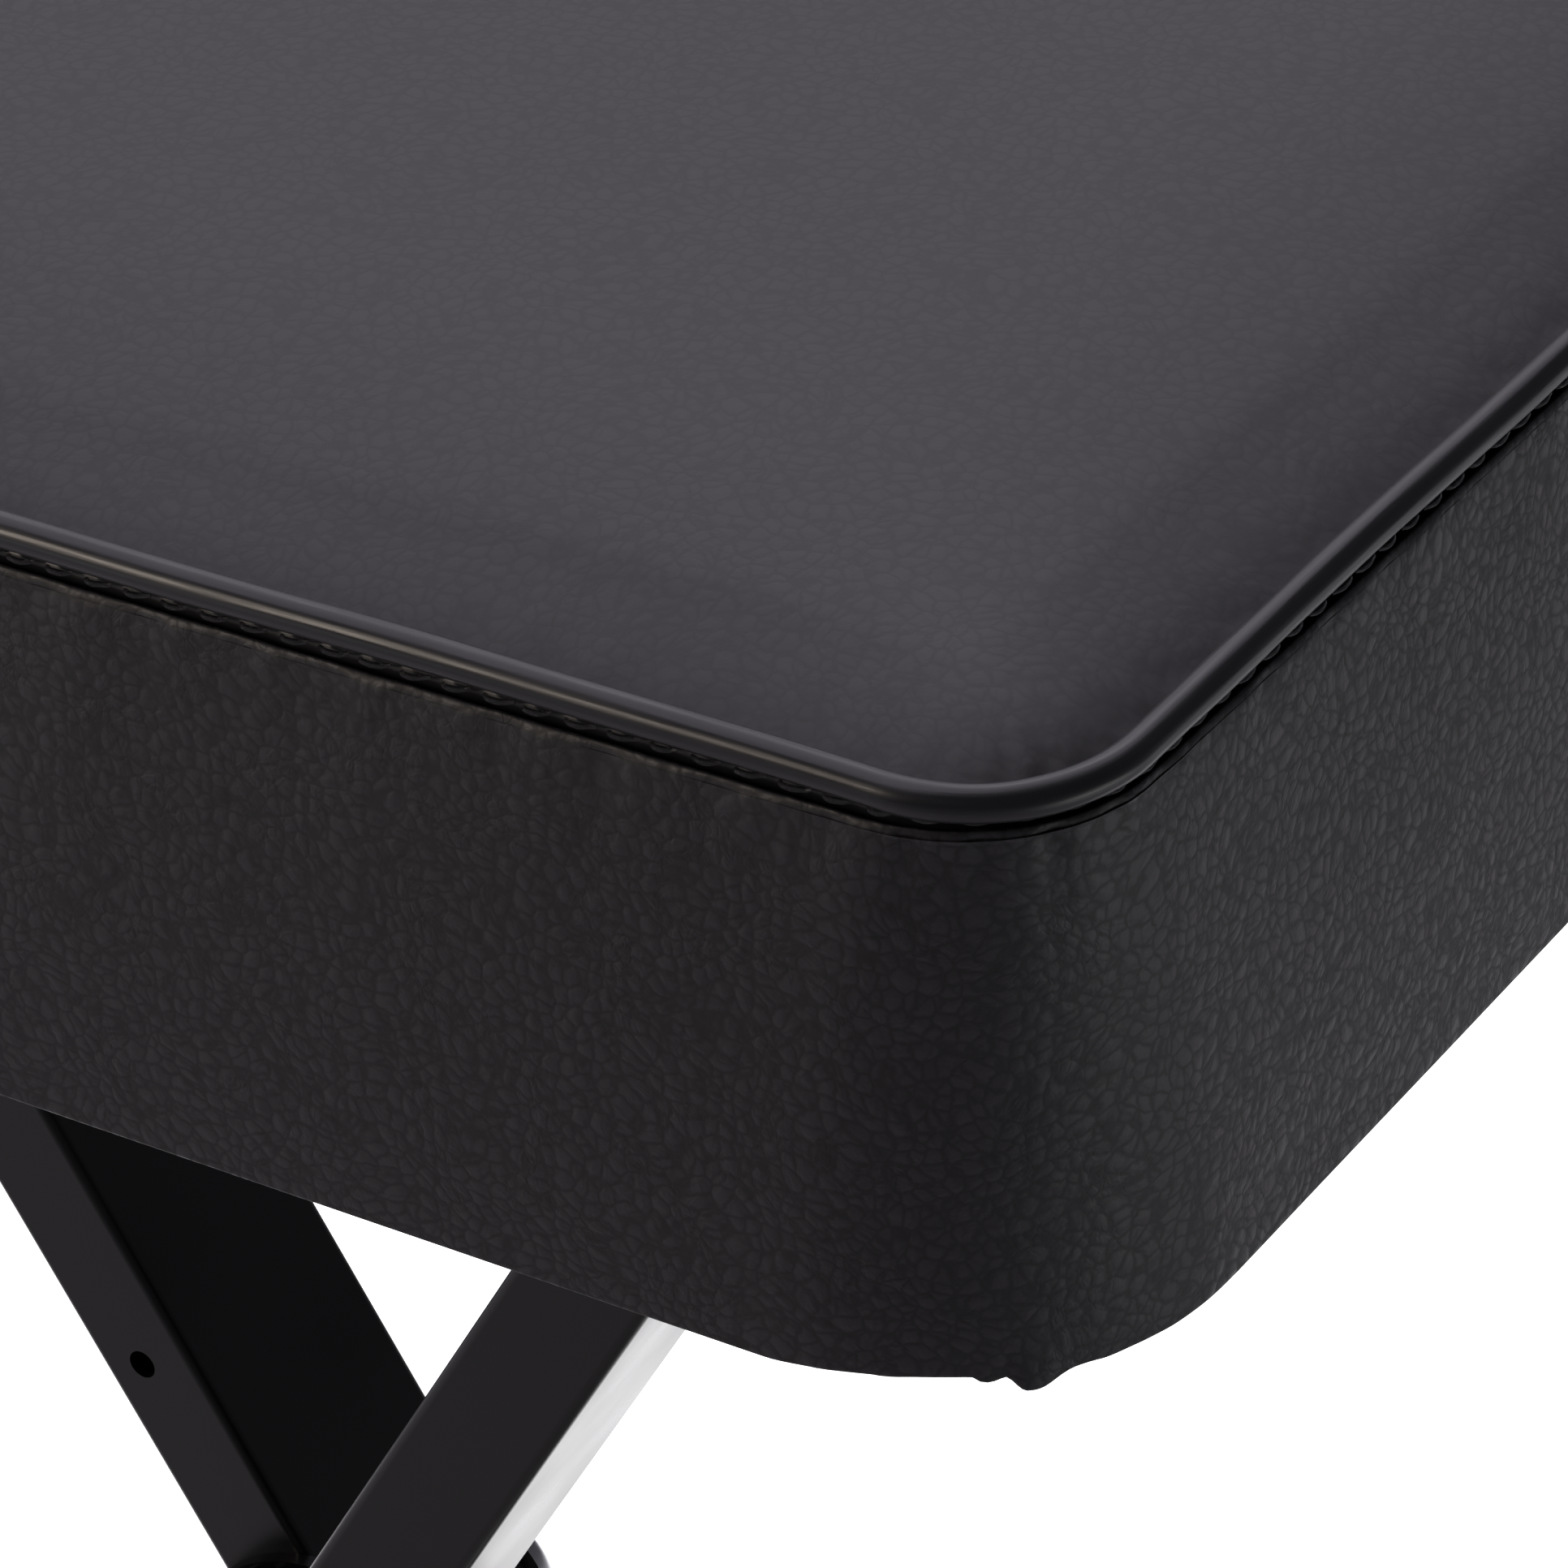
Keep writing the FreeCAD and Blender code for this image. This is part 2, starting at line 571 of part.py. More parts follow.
def legTube(name, label, side):
    """Leg tube in its own frame: the pivot at the origin, X along the tube towards the right."""
    start = "-lowerArm" if side > 0 else "-upperArm"
    body = squareTube(name, "YZ_Plane", Vector(1, 0, 0), "legWide", "legThin", "upperArm + lowerArm", start)
    top = sketchOn(body, "XZ_Plane", name + "TopPlace")
    circle(top, "crossTube", f"{side} * upperArm")
    pocket(body, top, name + "TopCope", both=True)
    foot = sketchOn(body, "XZ_Plane", name + "FootPlace")
    foot.AttachmentOffset = Placement(Vector(0, 0, 0), Rotation(Vector(0, 0, 1), 1))
    foot.setExpression(".AttachmentOffset.Base.x", cell(f"-{side} * lowerArm"))
    foot.setExpression(".AttachmentOffset.Rotation.Angle", cell(f"-{side} * legAngle"))
    rectangle(foot, "2 * legWide", "legWide + barTall / 2", "-legWide", "-legWide")
    pocket(body, foot, name + "FootCut", both=True)
    bore = sketchOn(body, "XZ_Plane", name + "PivotPlace")
    circle(bore, "boltWide + 2 * boltHoleFit")
    pocket(body, bore, name + "PivotHole", both=True)
    doc.recompute()
    turn(body, Vector(0, 1, 0), f"-{side} * legAngle")
    return keep(put(body, y=f"-{side} * {legMiddle}", z=pivotHeight), label)


frontLeg = legTube("FrontLeg", "front_leg_tube", 1)
rearLeg = legTube("RearLeg", "rear_leg_tube", -1)

# The rear leg's outer wall holds the bolt's square neck, its front wall has the drain hole.
neck = sketchOn(rearLeg, "XZ_Plane", "NeckPlace", "-legWide / 2")
rectangle(neck, "boltWide + 2 * boltHoleFit", "boltWide + 2 * boltHoleFit")
pocket(rearLeg, neck, "NeckHole", "tubeWall", flip=True)
vent = sketchOn(rearLeg, "XZ_Plane", "VentPlace", "legWide / 2")
circle(vent, "ventHole", "-ventUp", "-ventOff")
pocket(rearLeg, vent, "VentHole", "tubeWall")
doc.recompute()


def crossPiece(name, label, side):
    """Round cross tube at the top of a leg."""
    body = newBody(name)
    sketch = sketchOn(body, "XZ_Plane", name + "Section")
    circle(sketch, "crossTube")
    circle(sketch, "crossTube - 2 * crossWall")
    pad(body, sketch, name + "Tube", "crossLength", both=True)
    keep(put(body, x=f"{side} * {topReach}", z=topHeight), label)


def footBar(name, label, side):
    """Rectangular cross bar at the foot of a leg."""
    bar = squareTube(name, "XZ_Plane", Vector(0, 1, 0), "barWide", "barTall", "barLength", "-barLength / 2")
    keep(put(bar, x=f"-{side} * {footReach}", z=footHeight), label)


def footCaps(name, label, side):
    """Rubber boots on both ends of a foot bar."""
    boots = []
    for end in (-1, 1):
        body = newBody(f"{name}{end + 1}")
        block = sketchOn(body, "XY_Plane", f"{name}Block{end + 1}")
        rectangle(block, "barWide + 2 * capWall", "barTall + 2 * capWall")
        blank = pad(body, block, f"{name}Blank{end + 1}", "capLength + capEnd")
        doc.recompute()
        tall = value("capLength")
        soft = edgesAlong(blank.Shape, Vector(0, 0, 1)) + [
            f"Edge{i}" for i, edge in enumerate(blank.Shape.Edges, 1) if edge.BoundBox.ZMin > tall]
        rounded = roundEdges(body, blank, soft, "capCorner", f"{name}Round{end + 1}")
        doc.recompute()
        hollow = sketchOn(body, "XY_Plane", f"{name}Hollow{end + 1}")
        roundedRectangle(hollow, "barWide", "barTall", "tubeCorner")
        pocket(body, hollow, f"{name}Pocket{end + 1}", "capLength", flip=True)
        doc.recompute()
        start = f"{end} * (barLength / 2 - capLength)"
        boots.append(lay(body, end, f"-{side} * {footReach}", start, footHeight))
    group(label, boots)


def clutchDisc(name, label, side):
    """Toothed disc welded to the inner face of a leg."""
    body = newBody(name)
    base = "((legGap - clutchClear) / 2 - clutchTooth)"
    plate = sketchOn(body, "XY_Plane", name + "Plate")
    circle(plate, "clutchWide")
    circle(plate, "boltWide + 2 * boltHoleFit")
    pad(body, plate, name + "Base", base)
    profile = sketchOn(body, "YZ_Plane", name + "ToothShape", "clutchLand / 2")
    outline(profile, [
        ("-clutchToothWide / 2", f"{base} - clutchTooth / 2"),
        ("clutchToothWide / 2", f"{base} - clutchTooth / 2"),
        ("clutchToothWide / 2", base),
        ("0", f"{base} + clutchTooth"),
        ("-clutchToothWide / 2", base),
    ])
    tooth = pad(body, profile, name + "Tooth", "clutchWide / 2 - clutchLand / 2 - clutchTooth / 2")
    teeth = body.newObject("PartDesign::PolarPattern", name + "Teeth")
    teeth.Originals = [tooth]
    axis = next(f for f in body.Origin.OriginFeatures if f.Role == "Z_Axis")
    teeth.Axis = (axis, [""])
    teeth.Angle = 360
    bind(teeth, Occurrences="clutchTeeth")
    body.Tip = teeth
    doc.recompute()
    keep(lay(body, side, "0", f"-{side} * legGap / 2", pivotHeight), label)


def pivotSleeve(name, label, side):
    """Crush sleeve between the walls of a leg, round the pivot bolt."""
    sleeve = ring(name, "sleeveWide", "boltWide + 2 * runFit", "legWide - 2 * tubeWall")
    keep(lay(sleeve, -side, "0", f"-{side} * (legGap / 2 + tubeWall)", pivotHeight), label)


for name, side in (("front", 1), ("rear", -1)):
    title = name.capitalize()
    crossPiece(title + "Cross", name + "_top_tube", side)
    footBar(title + "Bar", name + "_foot_bar", side)
    footCaps(title + "Boot", name + "_foot_caps", side)
    clutchDisc(title + "Clutch", name + "_clutch_disc", side)
    pivotSleeve(title + "Sleeve", name + "_pivot_sleeve", side)

tubeBore = "(crossTube - 2 * crossWall)"
bushes = []
plugs = []
for side in (-1, 1):
    flange = cylinder(f"BushFlange{side + 1}", "bushFlangeWide", "bushFlange")
    barrel = put(cylinder(f"BushBarrel{side + 1}", tubeBore, "bushDeep"), z="-bushDeep")
    hole = put(cylinder(f"BushBore{side + 1}", "rodWide + 2 * runFit", "bushDeep + bushFlange"), z="-bushDeep")
    bush = cut(f"Bush{side + 1}", fuse(f"BushBlank{side + 1}", [flange, barrel]), hole)
    bushes.append(lay(bush, side, topReach, f"{side} * crossLength / 2", topHeight))
    plug = ring(f"Plug{side + 1}", tubeBore, "rodWide", "bushDeep")
    plugs.append(lay(plug, side, f"-{topReach}", f"{side} * (crossLength / 2 - bushDeep)", topHeight))
group("front_top_bushes", bushes)
group("rear_top_plugs", plugs)

slides = []
slideDeep = "(railSheet + 2 * endPlay)"
for side in (-1, 1):
    flange = cylinder(f"SlideFlange{side + 1}", "bushFlangeWide", "bushFlange")
    barrel = put(cylinder(f"SlideBarrel{side + 1}", "slideWide", slideDeep), z="bushFlange")
    hole = cylinder(f"SlideBore{side + 1}", "rodWide", f"bushFlange + {slideDeep}")
    slide = cut(f"Slide{side + 1}", fuse(f"SlideBlank{side + 1}", [flange, barrel]), hole)
    slides.append(lay(slide, side, f"-{topReach}", f"{side} * crossLength / 2", topHeight))
group("slide_bushes", slides)
rod("SlideRod", "slide_rod", f"-{topReach}")
rodEnds("Slide", f"-{topReach}", f"({railOuter} + endPlay)", "bushFlangeWide", "slide_washers", "slide_nuts")


# Pivot bolt and hand clamp.

boltReach = "(insertTall - 1)"
bolt = newBody("PivotBolt")
shankPlace = sketchOn(bolt, "XY_Plane", "ShankPlace")
circle(shankPlace, "boltWide")
pad(bolt, shankPlace, "Shank", f"2 * {legOuter} + clampWasherSheet + {boltReach}")
neckPlace = sketchOn(bolt, "XY_Plane", "BoltNeckPlace")
neckPlace.AttachmentOffset = Placement(Vector(0, 0, 0), Rotation(Vector(0, 0, 1), 1))
neckPlace.setExpression(".AttachmentOffset.Rotation.Angle", cell("-legAngle"))
rectangle(neckPlace, "boltWide", "boltWide")
pad(bolt, neckPlace, "BoltNeck", "tubeWall")
headPlace = sketchOn(bolt, "XY_Plane", "BoltHeadPlace", "-boltHeadTall")
circle(headPlace, "boltHead")
headPad = pad(bolt, headPlace, "BoltHead", "boltHeadTall")
doc.recompute()
headEdge = [f"Edge{i}" for i, edge in enumerate(headPad.Shape.Edges, 1)
            if edge.BoundBox.ZMax < -value("boltHeadTall") + 0.01]
roundEdges(bolt, headPad, headEdge, "boltHeadTall * 0.8", "BoltDome")
keep(lay(bolt, -1, "0", legOuter, pivotHeight), "pivot_bolt")

washer = ring("ClampWasher", "clampWasher", "boltWide + 2 * boltHoleFit", "clampWasherSheet")
keep(lay(washer, -1, "0", f"-{legOuter}", pivotHeight), "clamp_washer")

knobStart = f"-({legOuter} + clampWasherSheet)"
knob = newBody("Knob")
hubPlace = sketchOn(knob, "XY_Plane", "KnobHubPlace")
circle(hubPlace, "knobHub")
pad(knob, hubPlace, "KnobHub", "knobHubTall + knobTall / 2")
starPlace = sketchOn(knob, "XY_Plane", "KnobStarPlace", "knobHubTall")
circle(starPlace, "knobWide")
star = pad(knob, starPlace, "KnobStar", "knobTall")
scallopPlace = sketchOn(knob, "XY_Plane", "KnobScallopPlace", "knobHubTall")
circle(scallopPlace, "2 * knobScallop", "knobWide / 2 + knobScallop / 2")
scallop = pocket(knob, scallopPlace, "KnobScallop", "knobTall", flip=True)
doc.recompute()
lobes = knob.newObject("PartDesign::PolarPattern", "KnobLobes")
lobes.Originals = [scallop]
lobes.Axis = (next(f for f in knob.Origin.OriginFeatures if f.Role == "Z_Axis"), [""])
lobes.Angle = 360
bind(lobes, Occurrences="knobLobes")
knob.Tip = lobes
doc.recompute()
low = value("knobHubTall") - 0.01
rims = [f"Edge{i}" for i, edge in enumerate(lobes.Shape.Edges, 1)
        if edge.BoundBox.ZMin > low and edge.BoundBox.ZLength < 0.01 and edge.CenterOfMass.Length > 0
        and max(math.hypot(v.X, v.Y) for v in edge.Vertexes) > value("knobHub") / 2 + 1]
roundEdges(knob, lobes, rims, "knobRound", "KnobRims")
doc.recompute()
insertPlace = sketchOn(knob, "XY_Plane", "KnobInsertPlace")
circle(insertPlace, "insertWide")
pocket(knob, insertPlace, "KnobInsertPocket", "insertTall", flip=True)
doc.recompute()
keep(lay(knob, -1, "0", knobStart, pivotHeight), "clamp_knob")

insert = ring("KnobInsert", "insertWide", "boltWide + 2 * runFit", "insertTall")
keep(lay(insert, -1, "0", knobStart, pivotHeight), "knob_insert")


# Check everything, then write one file for each piece.

doc.recompute()
failed = [item.Name for item in doc.Objects if "Invalid" in item.State or "Error" in item.State]
for item in parts:
    if item.Shape.isNull() or not item.Shape.isValid() or not item.Shape.Solids:
        failed.append(item.Label)
if failed:
    raise SystemExit("failed objects: " + ", ".join(failed))

os.makedirs("parts", exist_ok=True)
for item in parts:
    item.Shape.exportStep(f"parts/{item.Label}.step")
    box = item.Shape.BoundBox
    print(f"{item.Label:20s} solids {len(item.Shape.Solids):2d} volume {item.Shape.Volume:10.1f}"
          f"  x {box.XMin:7.1f} {box.XMax:7.1f}  y {box.YMin:7.1f} {box.YMax:7.1f}"
          f"  z {box.ZMin:6.1f} {box.ZMax:6.1f}")
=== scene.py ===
import json
import math
import random

import bpy
import numpy as np
from mathutils import Matrix, Vector, noise


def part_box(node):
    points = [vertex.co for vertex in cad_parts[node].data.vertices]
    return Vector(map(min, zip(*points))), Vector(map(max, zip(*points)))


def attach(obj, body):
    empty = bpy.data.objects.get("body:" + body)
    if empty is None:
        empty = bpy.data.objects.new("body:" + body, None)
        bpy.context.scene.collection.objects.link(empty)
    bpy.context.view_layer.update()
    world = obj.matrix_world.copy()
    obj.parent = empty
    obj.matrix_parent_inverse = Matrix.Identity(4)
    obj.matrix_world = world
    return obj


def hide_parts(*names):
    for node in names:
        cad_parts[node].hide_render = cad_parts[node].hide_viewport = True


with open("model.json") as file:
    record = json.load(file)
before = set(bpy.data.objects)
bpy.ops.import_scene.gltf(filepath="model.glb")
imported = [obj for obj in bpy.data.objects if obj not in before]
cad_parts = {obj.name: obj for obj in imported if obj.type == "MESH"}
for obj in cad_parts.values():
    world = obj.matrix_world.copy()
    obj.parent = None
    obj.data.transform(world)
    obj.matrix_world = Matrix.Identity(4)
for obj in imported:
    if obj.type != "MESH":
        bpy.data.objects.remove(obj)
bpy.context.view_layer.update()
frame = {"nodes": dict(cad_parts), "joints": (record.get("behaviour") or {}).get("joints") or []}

mm = 0.001
scene = bpy.context.scene
nodes = frame["nodes"]
print("frame loaded:", len(nodes), "nodes")


# Colour, materials

def paint(code):  # sRGB hex to a linear colour
    parts = [int(code[i:i + 2], 16) / 255 for i in (1, 3, 5)]
    return [p / 12.92 if p <= 0.04045 else ((p + 0.055) / 1.055) ** 2.4 for p in parts] + [1.0]


def addNode(tree, kind, links=None, **settings):  # one node with its settings, values and links
    node = tree.nodes.new(kind)
    for name, value in settings.items():
        setattr(node, name, value)
    for socket, value in (links or {}).items():
        if isinstance(value, bpy.types.NodeSocket):
            tree.links.new(value, node.inputs[socket])
        else:
            node.inputs[socket].default_value = value
    return node


def startMaterial(name, shader):  # the material, its tree and the places that its patterns follow
    material = bpy.data.materials.new(name)
    material.use_nodes = True
    tree = material.node_tree
    for socket, value in shader.items():
        tree.nodes["Principled BSDF"].inputs[socket].default_value = value
    return material, tree, addNode(tree, "ShaderNodeTexCoord").outputs["Object"]


def dress(material, colour, rough, normal):  # patterns into the shader's sockets
    tree = material.node_tree
    for socket, value in (("Base Color", colour), ("Roughness", rough), ("Normal", normal)):
        if value is not None:
            tree.links.new(value, tree.nodes["Principled BSDF"].inputs[socket])
    return material


def pebbleLeatherette(name, grain):
    # PVC leathercloth, pressed with a pebble grain: small soft pillows parted by furrows of
    # uneven depth, under a satin skin with fine pores; the furrows' darker colour is painted shade.
    material, tree, place = startMaterial(name, {"IOR": 1.46})
    cell = grain["cell"]
    slow = addNode(tree, "ShaderNodeTexNoise", {"Vector": place, "Scale": 1 / (6 * cell), "Detail": 1.0})
    quick = addNode(tree, "ShaderNodeTexNoise", {"Vector": place, "Scale": 1 / (0.8 * cell)})
    drift = addNode(tree, "ShaderNodeVectorMath", {
        0: slow.outputs["Color"], 1: (grain["drift"] * cell,) * 3, 2: place}, operation="MULTIPLY_ADD")
    moved = addNode(tree, "ShaderNodeVectorMath", {
        0: quick.outputs["Color"], 1: (grain["crinkle"] * cell,) * 3, 2: drift.outputs[0]},
        operation="MULTIPLY_ADD").outputs[0]
    pebbles = {"Vector": moved, "Scale": 1 / cell, "Randomness": grain["random"]}
    edges = addNode(tree, "ShaderNodeTexVoronoi", pebbles, feature="DISTANCE_TO_EDGE")
    middles = addNode(tree, "ShaderNodeTexVoronoi", dict(pebbles, Smoothness=0.5), feature="SMOOTH_F1")
    small = addNode(tree, "ShaderNodeTexVoronoi", {
        "Vector": moved, "Scale": grain["small"] / cell}, feature="DISTANCE_TO_EDGE")
    creases = addNode(tree, "ShaderNodeTexVoronoi", {
        "Vector": moved, "Scale": grain["large"] / cell}, feature="DISTANCE_TO_EDGE")
    depth = addNode(tree, "ShaderNodeTexNoise", {"Vector": place, "Scale": 1 / (3 * cell)})

    # height: domed pebbles of uneven depth, a few small wrinkles and the pores
    pillow = addNode(tree, "ShaderNodeMapRange", {
        "Value": middles.outputs["Distance"], "From Min": grain["pillow"], "From Max": 0.05},
        interpolation_type="SMOOTHSTEP")
    wrinkle = addNode(tree, "ShaderNodeMapRange", {
        "Value": small.outputs["Distance"], "From Max": grain["furrow"]}, interpolation_type="SMOOTHSTEP")
    faint = addNode(tree, "ShaderNodeMapRange", {
        "Value": depth.outputs["Fac"], "From Min": 0.42, "From Max": 0.62, "To Max": grain["wrinkle"]})
    uneven = addNode(tree, "ShaderNodeMapRange", {
        "Value": depth.outputs["Fac"], "From Min": 0.3, "From Max": 0.7, "To Min": 1.1, "To Max": 0.6})
    domes = addNode(tree, "ShaderNodeMath", {
        0: pillow.outputs["Result"], 1: uneven.outputs["Result"]}, operation="MULTIPLY")
    skin = addNode(tree, "ShaderNodeMath", {
        0: wrinkle.outputs["Result"], 1: faint.outputs["Result"], 2: domes.outputs[0]},
        operation="MULTIPLY_ADD")
    pores = addNode(tree, "ShaderNodeTexNoise", {
        "Vector": place, "Scale": 1 / grain["pore"], "Detail": 3.0})
    relief = addNode(tree, "ShaderNodeMath", {
        0: pores.outputs["Fac"], 1: grain["poreShare"], 2: skin.outputs[0]}, operation="MULTIPLY_ADD")
    bump = addNode(tree, "ShaderNodeBump", {"Height": relief.outputs[0], "Distance": grain["depth"]})

    # colour and gloss: painted shade, the colour darker in the furrows and the long creases; the gloss
    # duller there
    fine = addNode(tree, "ShaderNodeMapRange", {
        "Value": edges.outputs["Distance"], "From Max": grain["furrow"]}, interpolation_type="SMOOTHSTEP")
    long = addNode(tree, "ShaderNodeMapRange", {
        "Value": creases.outputs["Distance"], "From Max": 0.06, "To Min": 0.5},
        interpolation_type="SMOOTHSTEP")
    furrow = addNode(tree, "ShaderNodeMath", {
        0: fine.outputs["Result"], 1: long.outputs["Result"]}, operation="MULTIPLY").outputs[0]
    mottle = addNode(tree, "ShaderNodeTexNoise", {
        "Vector": place, "Scale": 1 / grain["mottle"], "Detail": 3.0})
    body = addNode(tree, "ShaderNodeMix", {
        0: mottle.outputs["Fac"], 6: paint(grain["body"]), 7: paint(grain["bodyPale"])}, data_type="RGBA")
    # painted shade: the furrows and long creases take the darker colour
    colour = addNode(tree, "ShaderNodeMix", {
        0: furrow, 6: paint(grain["paintedFurrowShade"]), 7: body.outputs[2]}, data_type="RGBA")
    sheen = addNode(tree, "ShaderNodeMapRange", {
        "Value": furrow, "To Min": grain["roughDeep"], "To Max": grain["rough"]})
    return dress(material, colour.outputs[2], sheen.outputs["Result"], bump.outputs["Normal"])


bandGrain = {
    "cell": 2.3 * mm, "random": 0.8,             # width of a pebble, and how uneven the pebbles are
    "drift": 3.0, "crinkle": 0.55,               # slow and quick bending of the pattern, in pebbles
    "pillow": 0.8, "furrow": 0.2,                # reach of a dome and width of a furrow, in pebbles
    "small": 1.7, "large": 0.42, "wrinkle": 0.18,   # wrinkles and creases, by how dense they lie
    "depth": 0.13 * mm, "pore": 0.3 * mm, "poreShare": 0.08,
    # the darkest colour here, for the furrows, is painted shade
    "mottle": 60 * mm, "body": "#252426", "bodyPale": "#2a292b", "paintedFurrowShade": "#171718",
    "rough": 0.45, "roughDeep": 0.56,
}
# the top's furrow colour is painted shade too
topGrain = dict(bandGrain, cell=2.5 * mm, depth=0.03 * mm, paintedFurrowShade="#212022", roughDeep=0.48)


def weltVinyl():
    # Plasticised PVC, extruded over a cord: glossy black with fine drawn streaks along its length.
    material, tree, place = startMaterial("welt vinyl", {"Base Color": paint("#17171a"), "IOR": 1.53})
    along = addNode(tree, "ShaderNodeTexCoord").outputs["UV"]  # metres along the cord, share round it
    stretched = addNode(tree, "ShaderNodeVectorMath", {
        0: along, 1: (60.0, 14.0, 1.0)}, operation="MULTIPLY")
    streak = addNode(tree, "ShaderNodeTexNoise", {
        "Vector": stretched.outputs[0], "Scale": 1.0, "Detail": 4.0})
    scuff = addNode(tree, "ShaderNodeTexNoise", {"Vector": place, "Scale": 1 / (4 * mm), "Detail": 4.0})
    rough = addNode(tree, "ShaderNodeMapRange", {
        "Value": streak.outputs["Fac"], "From Min": 0.3, "From Max": 0.7, "To Min": 0.24, "To Max": 0.42})
    bump = addNode(tree, "ShaderNodeBump", {"Height": streak.outputs["Fac"], "Distance": 0.03 * mm})
    bumpAgain = addNode(tree, "ShaderNodeBump", {
        "Height": scuff.outputs["Fac"], "Distance": 0.02 * mm,
        "Normal": bump.outputs["Normal"]})
    return dress(material, None, rough.outputs["Result"], bumpAgain.outputs["Normal"])


def bondedThread():
    # Bonded polyester thread, twisted: small glossy ridges across each stitch. Its grey base colour is
    # paler than the black thread, as a painted glint.
    material, tree, _ = startMaterial("bonded thread", {"Base Color": paint("#343437"), "IOR": 1.55})
    along = addNode(tree, "ShaderNodeTexCoord").outputs["UV"]
    twist = addNode(tree, "ShaderNodeTexWave", {
        "Vector": along, "Scale": 320.0, "Distortion": 0.6}, bands_direction="DIAGONAL")
    rough = addNode(tree, "ShaderNodeMapRange", {
        "Value": twist.outputs["Fac"], "To Min": 0.18, "To Max": 0.4})
    bump = addNode(tree, "ShaderNodeBump", {
        "Height": twist.outputs["Fac"], "Strength": 0.8, "Distance": 0.05 * mm})
    return dress(material, None, rough.outputs["Result"], bump.outputs["Normal"])


def powderCoat():
    # Polyester powder coat, sprayed and baked: satin black with a faint orange peel, paler where rubbed.
    material, tree, place = startMaterial("powder coat", {"IOR": 1.43})
    peel = addNode(tree, "ShaderNodeTexNoise", {"Vector": place, "Scale": 1 / (1.6 * mm)})
    cloud = addNode(tree, "ShaderNodeTexNoise", {"Vector": place, "Scale": 1 / (45 * mm), "Detail": 4.0})
    colour = addNode(tree, "ShaderNodeMix", {
        0: cloud.outputs["Fac"], 6: paint("#0a0a0b"), 7: paint("#0f0f10")}, data_type="RGBA")
    rough = addNode(tree, "ShaderNodeMapRange", {
        "Value": cloud.outputs["Fac"], "From Min": 0.3, "From Max": 0.7, "To Min": 0.27, "To Max": 0.36})
    bump = addNode(tree, "ShaderNodeBump", {
        "Height": peel.outputs["Fac"], "Strength": 0.5, "Distance": 0.012 * mm})
    return dress(material, colour.outputs[2], rough.outputs["Result"], bump.outputs["Normal"])


def zincPlate():
    # Bright zinc plate on cold-drawn steel: bluish silver, lightly clouded, fine draw marks.
    material, tree, place = startMaterial("zinc plate", {"Metallic": 1.0})
    cloud = addNode(tree, "ShaderNodeTexNoise", {"Vector": place, "Scale": 1 / (6 * mm), "Detail": 5.0})
    grit = addNode(tree, "ShaderNodeTexNoise", {"Vector": place, "Scale": 1 / (0.4 * mm)})
    colour = addNode(tree, "ShaderNodeMix", {
        0: cloud.outputs["Fac"], 6: paint("#9a9da1"), 7: paint("#c6c8c9")}, data_type="RGBA")
    rough = addNode(tree, "ShaderNodeMapRange", {
        "Value": cloud.outputs["Fac"], "From Min": 0.3, "From Max": 0.7, "To Min": 0.22, "To Max": 0.42})
    bump = addNode(tree, "ShaderNodeBump", {
        "Height": grit.outputs["Fac"], "Strength": 0.5, "Distance": 0.02 * mm})
    return dress(material, colour.outputs[2], rough.outputs["Result"], bump.outputs["Normal"])


def mouldedRubber():
    # Styrene-butadiene rubber, compression moulded: dull charcoal, faint bloom and a fine matt skin.
    material, tree, place = startMaterial("moulded rubber", {"IOR": 1.52})
    bloom = addNode(tree, "ShaderNodeTexNoise", {"Vector": place, "Scale": 1 / (18 * mm), "Detail": 5.0})
    skin = addNode(tree, "ShaderNodeTexNoise", {"Vector": place, "Scale": 1 / (0.5 * mm), "Detail": 3.0})
    colour = addNode(tree, "ShaderNodeMix", {
        0: bloom.outputs["Fac"], 6: paint("#1a1a1b"), 7: paint("#2a2a2b")}, data_type="RGBA")
    rough = addNode(tree, "ShaderNodeMapRange", {
        "Value": bloom.outputs["Fac"], "To Min": 0.62, "To Max": 0.82})
    bump = addNode(tree, "ShaderNodeBump", {
        "Height": skin.outputs["Fac"], "Strength": 0.7, "Distance": 0.05 * mm})
    return dress(material, colour.outputs[2], rough.outputs["Result"], bump.outputs["Normal"])


def sparkedPlastic(name, dark, pale, rough, grit):
    # Injection-moulded thermoplastic from a spark-eroded tool: an even fine matt texture.
    material, tree, place = startMaterial(name, {"IOR": 1.49})
    skin = addNode(tree, "ShaderNodeTexVoronoi", {"Vector": place, "Scale": 1 / grit}, feature="SMOOTH_F1")
    cloud = addNode(tree, "ShaderNodeTexNoise", {"Vector": place, "Scale": 1 / (12 * mm), "Detail": 3.0})
    colour = addNode(tree, "ShaderNodeMix", {
        0: cloud.outputs["Fac"], 6: paint(dark), 7: paint(pale)}, data_type="RGBA")
    sheen = addNode(tree, "ShaderNodeMapRange", {
        "Value": cloud.outputs["Fac"], "To Min": rough - 0.06, "To Max": rough + 0.06})
    bump = addNode(tree, "ShaderNodeBump", {
        "Height": skin.outputs["Distance"], "Strength": 0.5, "Distance": 0.06 * mm})
    return dress(material, colour.outputs[2], sheen.outputs["Result"], bump.outputs["Normal"])


